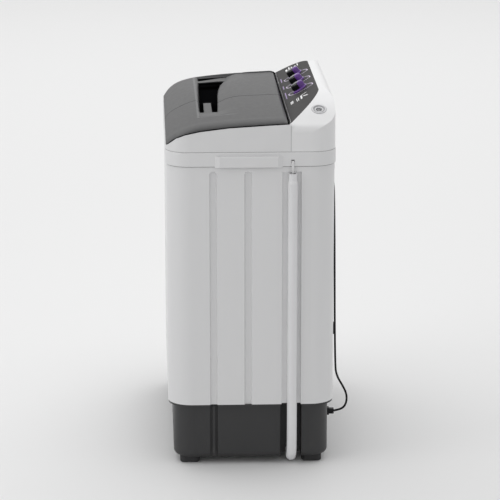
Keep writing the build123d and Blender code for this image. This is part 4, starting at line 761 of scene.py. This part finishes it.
def edge_at(y):
    """Half the lids' width at y, less round their front corners."""
    fall = min(lid_corner, max(0.0, lid_front + lid_corner - y))
    return lid_half - (lid_corner - math.sqrt(lid_corner**2 - fall**2))


def side_drop(place, edge, total):
    """How far the skin has dropped at place, on its way down to the rim at the edge."""
    gentle = gentle_share * total
    flat = edge - side_roll
    drop = gentle * (min(place, flat) / flat) ** 2
    if place > flat:
        turn = min(1.0, (place - flat) / side_roll)
        drop += (total - gentle) * (1.0 - math.sqrt(1.0 - turn**2 * roll_share)) / roll_reach
    return drop


def lid_cover(name, body, stretches, open_rows, openings):
    """A lid's skin: columns in stretches of (low, high, count) and slots where rows are open."""
    columns = []
    for low, high, count in stretches:
        columns += [low + (high - low) * step / count for step in range(count)]
    columns.append(stretches[-1][1])
    form = bmesh.new()
    bmesh.ops.create_grid(form, x_segments=len(columns) - 1, y_segments=len(rows) - 1, size=1.0)
    spots = {}
    for vert in form.verts:
        column = round((vert.co.x + 1.0) / 2.0 * (len(columns) - 1))
        row = round((vert.co.y + 1.0) / 2.0 * (len(rows) - 1))
        spots[vert] = (column, row)
        x = columns[column]
        y, z = row_place(*rows[row], x)
        x -= lean * soft((y - lean_start) / lean_run) * soft(1.0 - abs(x - lean_x) / lean_reach)
        edge = edge_at(y)
        place = abs(x) / lid_half * edge
        total = max(0.0, z - along(split, y) - lid_gap)
        vert.co = (math.copysign(place, x), y, z - side_drop(place, edge, total))
    open_cells = []
    for face in form.faces:
        xs = [columns[spots[vert][0]] for vert in face.verts]
        last = max(spots[vert][1] for vert in face.verts)
        middle = sum(xs) / len(xs)
        if rows[last][0] in open_rows and any(low < middle < high for low, high in openings):
            open_cells.append(face)
        # painted shade: the skin is black with no shine below the front edge, along the sides' rim and
        # on the tail, where the gaps round the lid fall dark
        if min(abs(x) for x in xs) > lid_half - rim_shade_band or last < 2 or last > len(rows) - 4:
            face.material_index = 1
    bmesh.ops.delete(form, geom=open_cells, context="FACES")
    bmesh.ops.recalc_face_normals(form, faces=form.faces)
    if sum(face.normal.z for face in form.faces) < 0.0:
        bmesh.ops.reverse_faces(form, faces=form.faces)
    piece = new_piece(name, form, [lid_grey, black_well_and_gap_shade], body, 50.0)
    thicken(piece, "wall", lid_wall)
    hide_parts(body)


lid_cover(
    "wash_lid_cover",
    "wash_lid",
    stretches=[
        (-0.436, -0.430, 4), (-0.430, -0.395, 11), (-0.395, -0.345, 9), (-0.345, -0.310, 7),
        (-0.310, 0.0412, 42), (0.0412, 0.0440, 1),
    ],
    open_rows=("slot", "tongue", "gap"),
    openings=[(-0.395, -0.345), (-0.310, 0.0440)],
)
lid_cover(
    "spin_lid_cover",
    "spin_lid",
    stretches=[
        (0.0460, 0.0488, 1), (0.0488, 0.192, 18), (0.192, 0.276, 12), (0.276, 0.300, 8),
        (0.300, 0.400, 14), (0.400, 0.430, 10), (0.430, 0.436, 4),
    ],
    open_rows=("slot", "gap"),
    openings=[(0.0460, 0.192)],
)


# Wells under the scoop. A black moulded tray is welded below each lid's opening, so
# no finger or water gets past it. Its black has no shine at all, painted shade for the
# dark inside the opening.
tray_size_y = 0.128
tray_size_z = 0.020
tray_middle_y = -0.0745
tray_middle_z = 0.9592
tray_corner = 0.008
tray_wall = 0.0015
for body, low, high in (("wash_lid", -0.402, 0.0436), ("spin_lid", 0.0464, 0.204)):
    form = bmesh.new()
    place = Matrix.Translation(((low + high) / 2, tray_middle_y, tray_middle_z))
    place = place @ Matrix.Diagonal((high - low, tray_size_y, tray_size_z, 1.0))
    bmesh.ops.create_cube(form, size=1.0, matrix=place)
    lid_side = [face for face in form.faces if face.normal.z > 0.5]
    bmesh.ops.delete(form, geom=lid_side, context="FACES")
    upright = []
    for edge in form.edges:
        first, second = edge.verts
        if abs(first.co.z - second.co.z) > tray_size_z / 2:
            upright.append(edge)
    bmesh.ops.bevel(
        form, geom=upright, offset=tray_corner, offset_type="OFFSET", segments=4, profile=0.5,
        affect="EDGES", material=-1,
    )
    tray = new_piece(f"{body}_tray", form, [black_well_and_gap_shade], body)
    thicken(tray, "wall", tray_wall)
    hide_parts(f"{body}_well")


# Drain hose. A smooth pale PVC hose, strapped up the side in its channel. It leaves
# the tray at the foot, bends upward and ends in an open cuff near the top.
hose_route = [
    (0.3795, 0.1128, 0.033), (0.400, 0.1128, 0.0195), (0.425, 0.1133, 0.0255),
    (0.441, 0.1143, 0.052), (0.441, 0.1143, 0.803),
]
hose_white = moulded(
    "hose_white", (0.68, 0.68, 0.69),
    roughness=0.34, grain=0.0010, depth=0.00001, mottle=0.015,
)


def laid_cord(name, route, radius, finish):
    """A round cord on one smooth line through the control points of its route."""
    line = bpy.data.curves.new(name, "CURVE")
    line.dimensions = "3D"
    run = line.splines.new("NURBS")
    run.points.add(len(route) - 1)
    for knot, place in zip(run.points, route):
        knot.co = (*place, 1.0)
    run.order_u = 3
    run.use_endpoint_u = True
    run.resolution_u = 12
    line.bevel_depth = radius
    line.bevel_resolution = 7
    line.use_fill_caps = True
    line.materials.append(finish.material)
    piece = bpy.data.objects.new(name, line)
    bpy.context.scene.collection.objects.link(piece)
    return piece


hose = laid_cord("hose_line", hose_route, radius=0.014, finish=hose_white)
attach(hose, "cabinet")
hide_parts("drain_hose")
dress(hose_white, "hose_cuff")
dress(grip_white, "hose_strap")


# Power cord. A black two-core lead of 6 mm leaves through a gland low at the back,
# bows out behind the tray, climbs to the hook and hangs back with its plug.
cord_route = [
    (0.245, 0.2470, 0.101), (0.245, 0.2630, 0.1035), (0.245, 0.2780, 0.112), (0.245, 0.2850, 0.131),
    (0.245, 0.2830, 0.155), (0.245, 0.2700, 0.180), (0.245, 0.2560, 0.204), (0.245, 0.2490, 0.236),
    (0.245, 0.2445, 0.742), (0.245, 0.2392, 0.792), (0.245, 0.2386, 0.849), (0.185, 0.2386, 0.849),
    (0.185, 0.2386, 0.767), (0.182, 0.2394, 0.690), (0.177, 0.2404, 0.610), (0.173, 0.2410, 0.526),
    (0.172, 0.2412, 0.442), (0.174, 0.2410, 0.362),
]
cord_black = moulded(
    "cord_black", (0.008, 0.008, 0.009),
    roughness=0.48, grain=0.0010, depth=0.00002, mottle=0.1, specular_ior_level=0.2,
)
lead = laid_cord("power_line", cord_route, radius=0.003, finish=cord_black)
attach(lead, "cabinet")
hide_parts("power_cord")
dress(cord_black, "power_plug", "cord_gland")
dress(grip_white, "cord_hook")


# Studio. A pale floor that fills the view, soft lights from above and in front, and a
# pale surround that fades upward, as in a product picture taken in a white tent.
floor_mesh = bpy.data.meshes.new("floor")
floor_form = bmesh.new()
floor_width = 60.0
sheet(floor_form, Matrix.Scale(floor_width, 4))
floor_form.to_mesh(floor_mesh)
floor_form.free()
floor = bpy.data.objects.new("floor", floor_mesh)
bpy.context.scene.collection.objects.link(floor)
floor_paint = Finish("floor_paint", base_color=(0.775, 0.775, 0.775), roughness=0.75)
floor_mesh.materials.append(floor_paint.material)

surround = bpy.data.worlds.new("surround")
surround.use_nodes = True
nodes = surround.node_tree.nodes
links = surround.node_tree.links
backdrop = nodes["Background"]
backdrop.inputs["Color"].default_value = (1.0, 1.0, 1.0, 1.0)
around = nodes.new("ShaderNodeTexCoord")
height = nodes.new("ShaderNodeSeparateXYZ")
fade = nodes.new("ShaderNodeMapRange")
for label, value in (("From Min", 0.20), ("From Max", 0.55), ("To Min", 0.97), ("To Max", 0.64)):
    fade.inputs[label].default_value = value
links.new(around.outputs["Generated"], height.inputs["Vector"])
links.new(height.outputs["Z"], fade.inputs["Value"])
links.new(fade.outputs["Result"], backdrop.inputs["Strength"])
bpy.context.scene.world = surround


def softbox(name, place, aim, size, power):
    """A square area light at place, turned to aim."""
    lamp = bpy.data.lights.new(name, "AREA")
    lamp.size = size
    lamp.energy = power
    holder = bpy.data.objects.new(name, lamp)
    holder.location = place
    holder.rotation_euler = (Vector(aim) - Vector(place)).to_track_quat("-Z", "Y").to_euler()
    bpy.context.scene.collection.objects.link(holder)


softbox("overhead", place=(-0.3, -0.1, 3.3), aim=(0.0, 0.0, 0.5), size=3.0, power=30.0)
softbox("front", place=(1.6, -3.6, 1.9), aim=(0.2, 0.0, 0.6), size=2.0, power=24.0)
softbox("far_floor", place=(-6.5, 0.0, 4.0), aim=(-6.5, 0.0, 0.0), size=9.0, power=165.0)


# Camera. It looks at the right-hand side from a little above, through a long lens, as
# the photograph does.
camera = bpy.data.cameras.new("camera")
camera.sensor_width = 36.0
camera.lens = 180.0
eye = bpy.data.objects.new("camera", camera)
eye.location = (7.173, -0.284, 2.260)
pitch = math.radians(13.60)
yaw = math.radians(2.38)
eye.rotation_euler = (math.pi / 2 - pitch, 0.0, math.pi / 2 - yaw)
bpy.context.scene.collection.objects.link(eye)
bpy.context.scene.camera = eye
bpy.context.scene.view_settings.view_transform = "Standard"
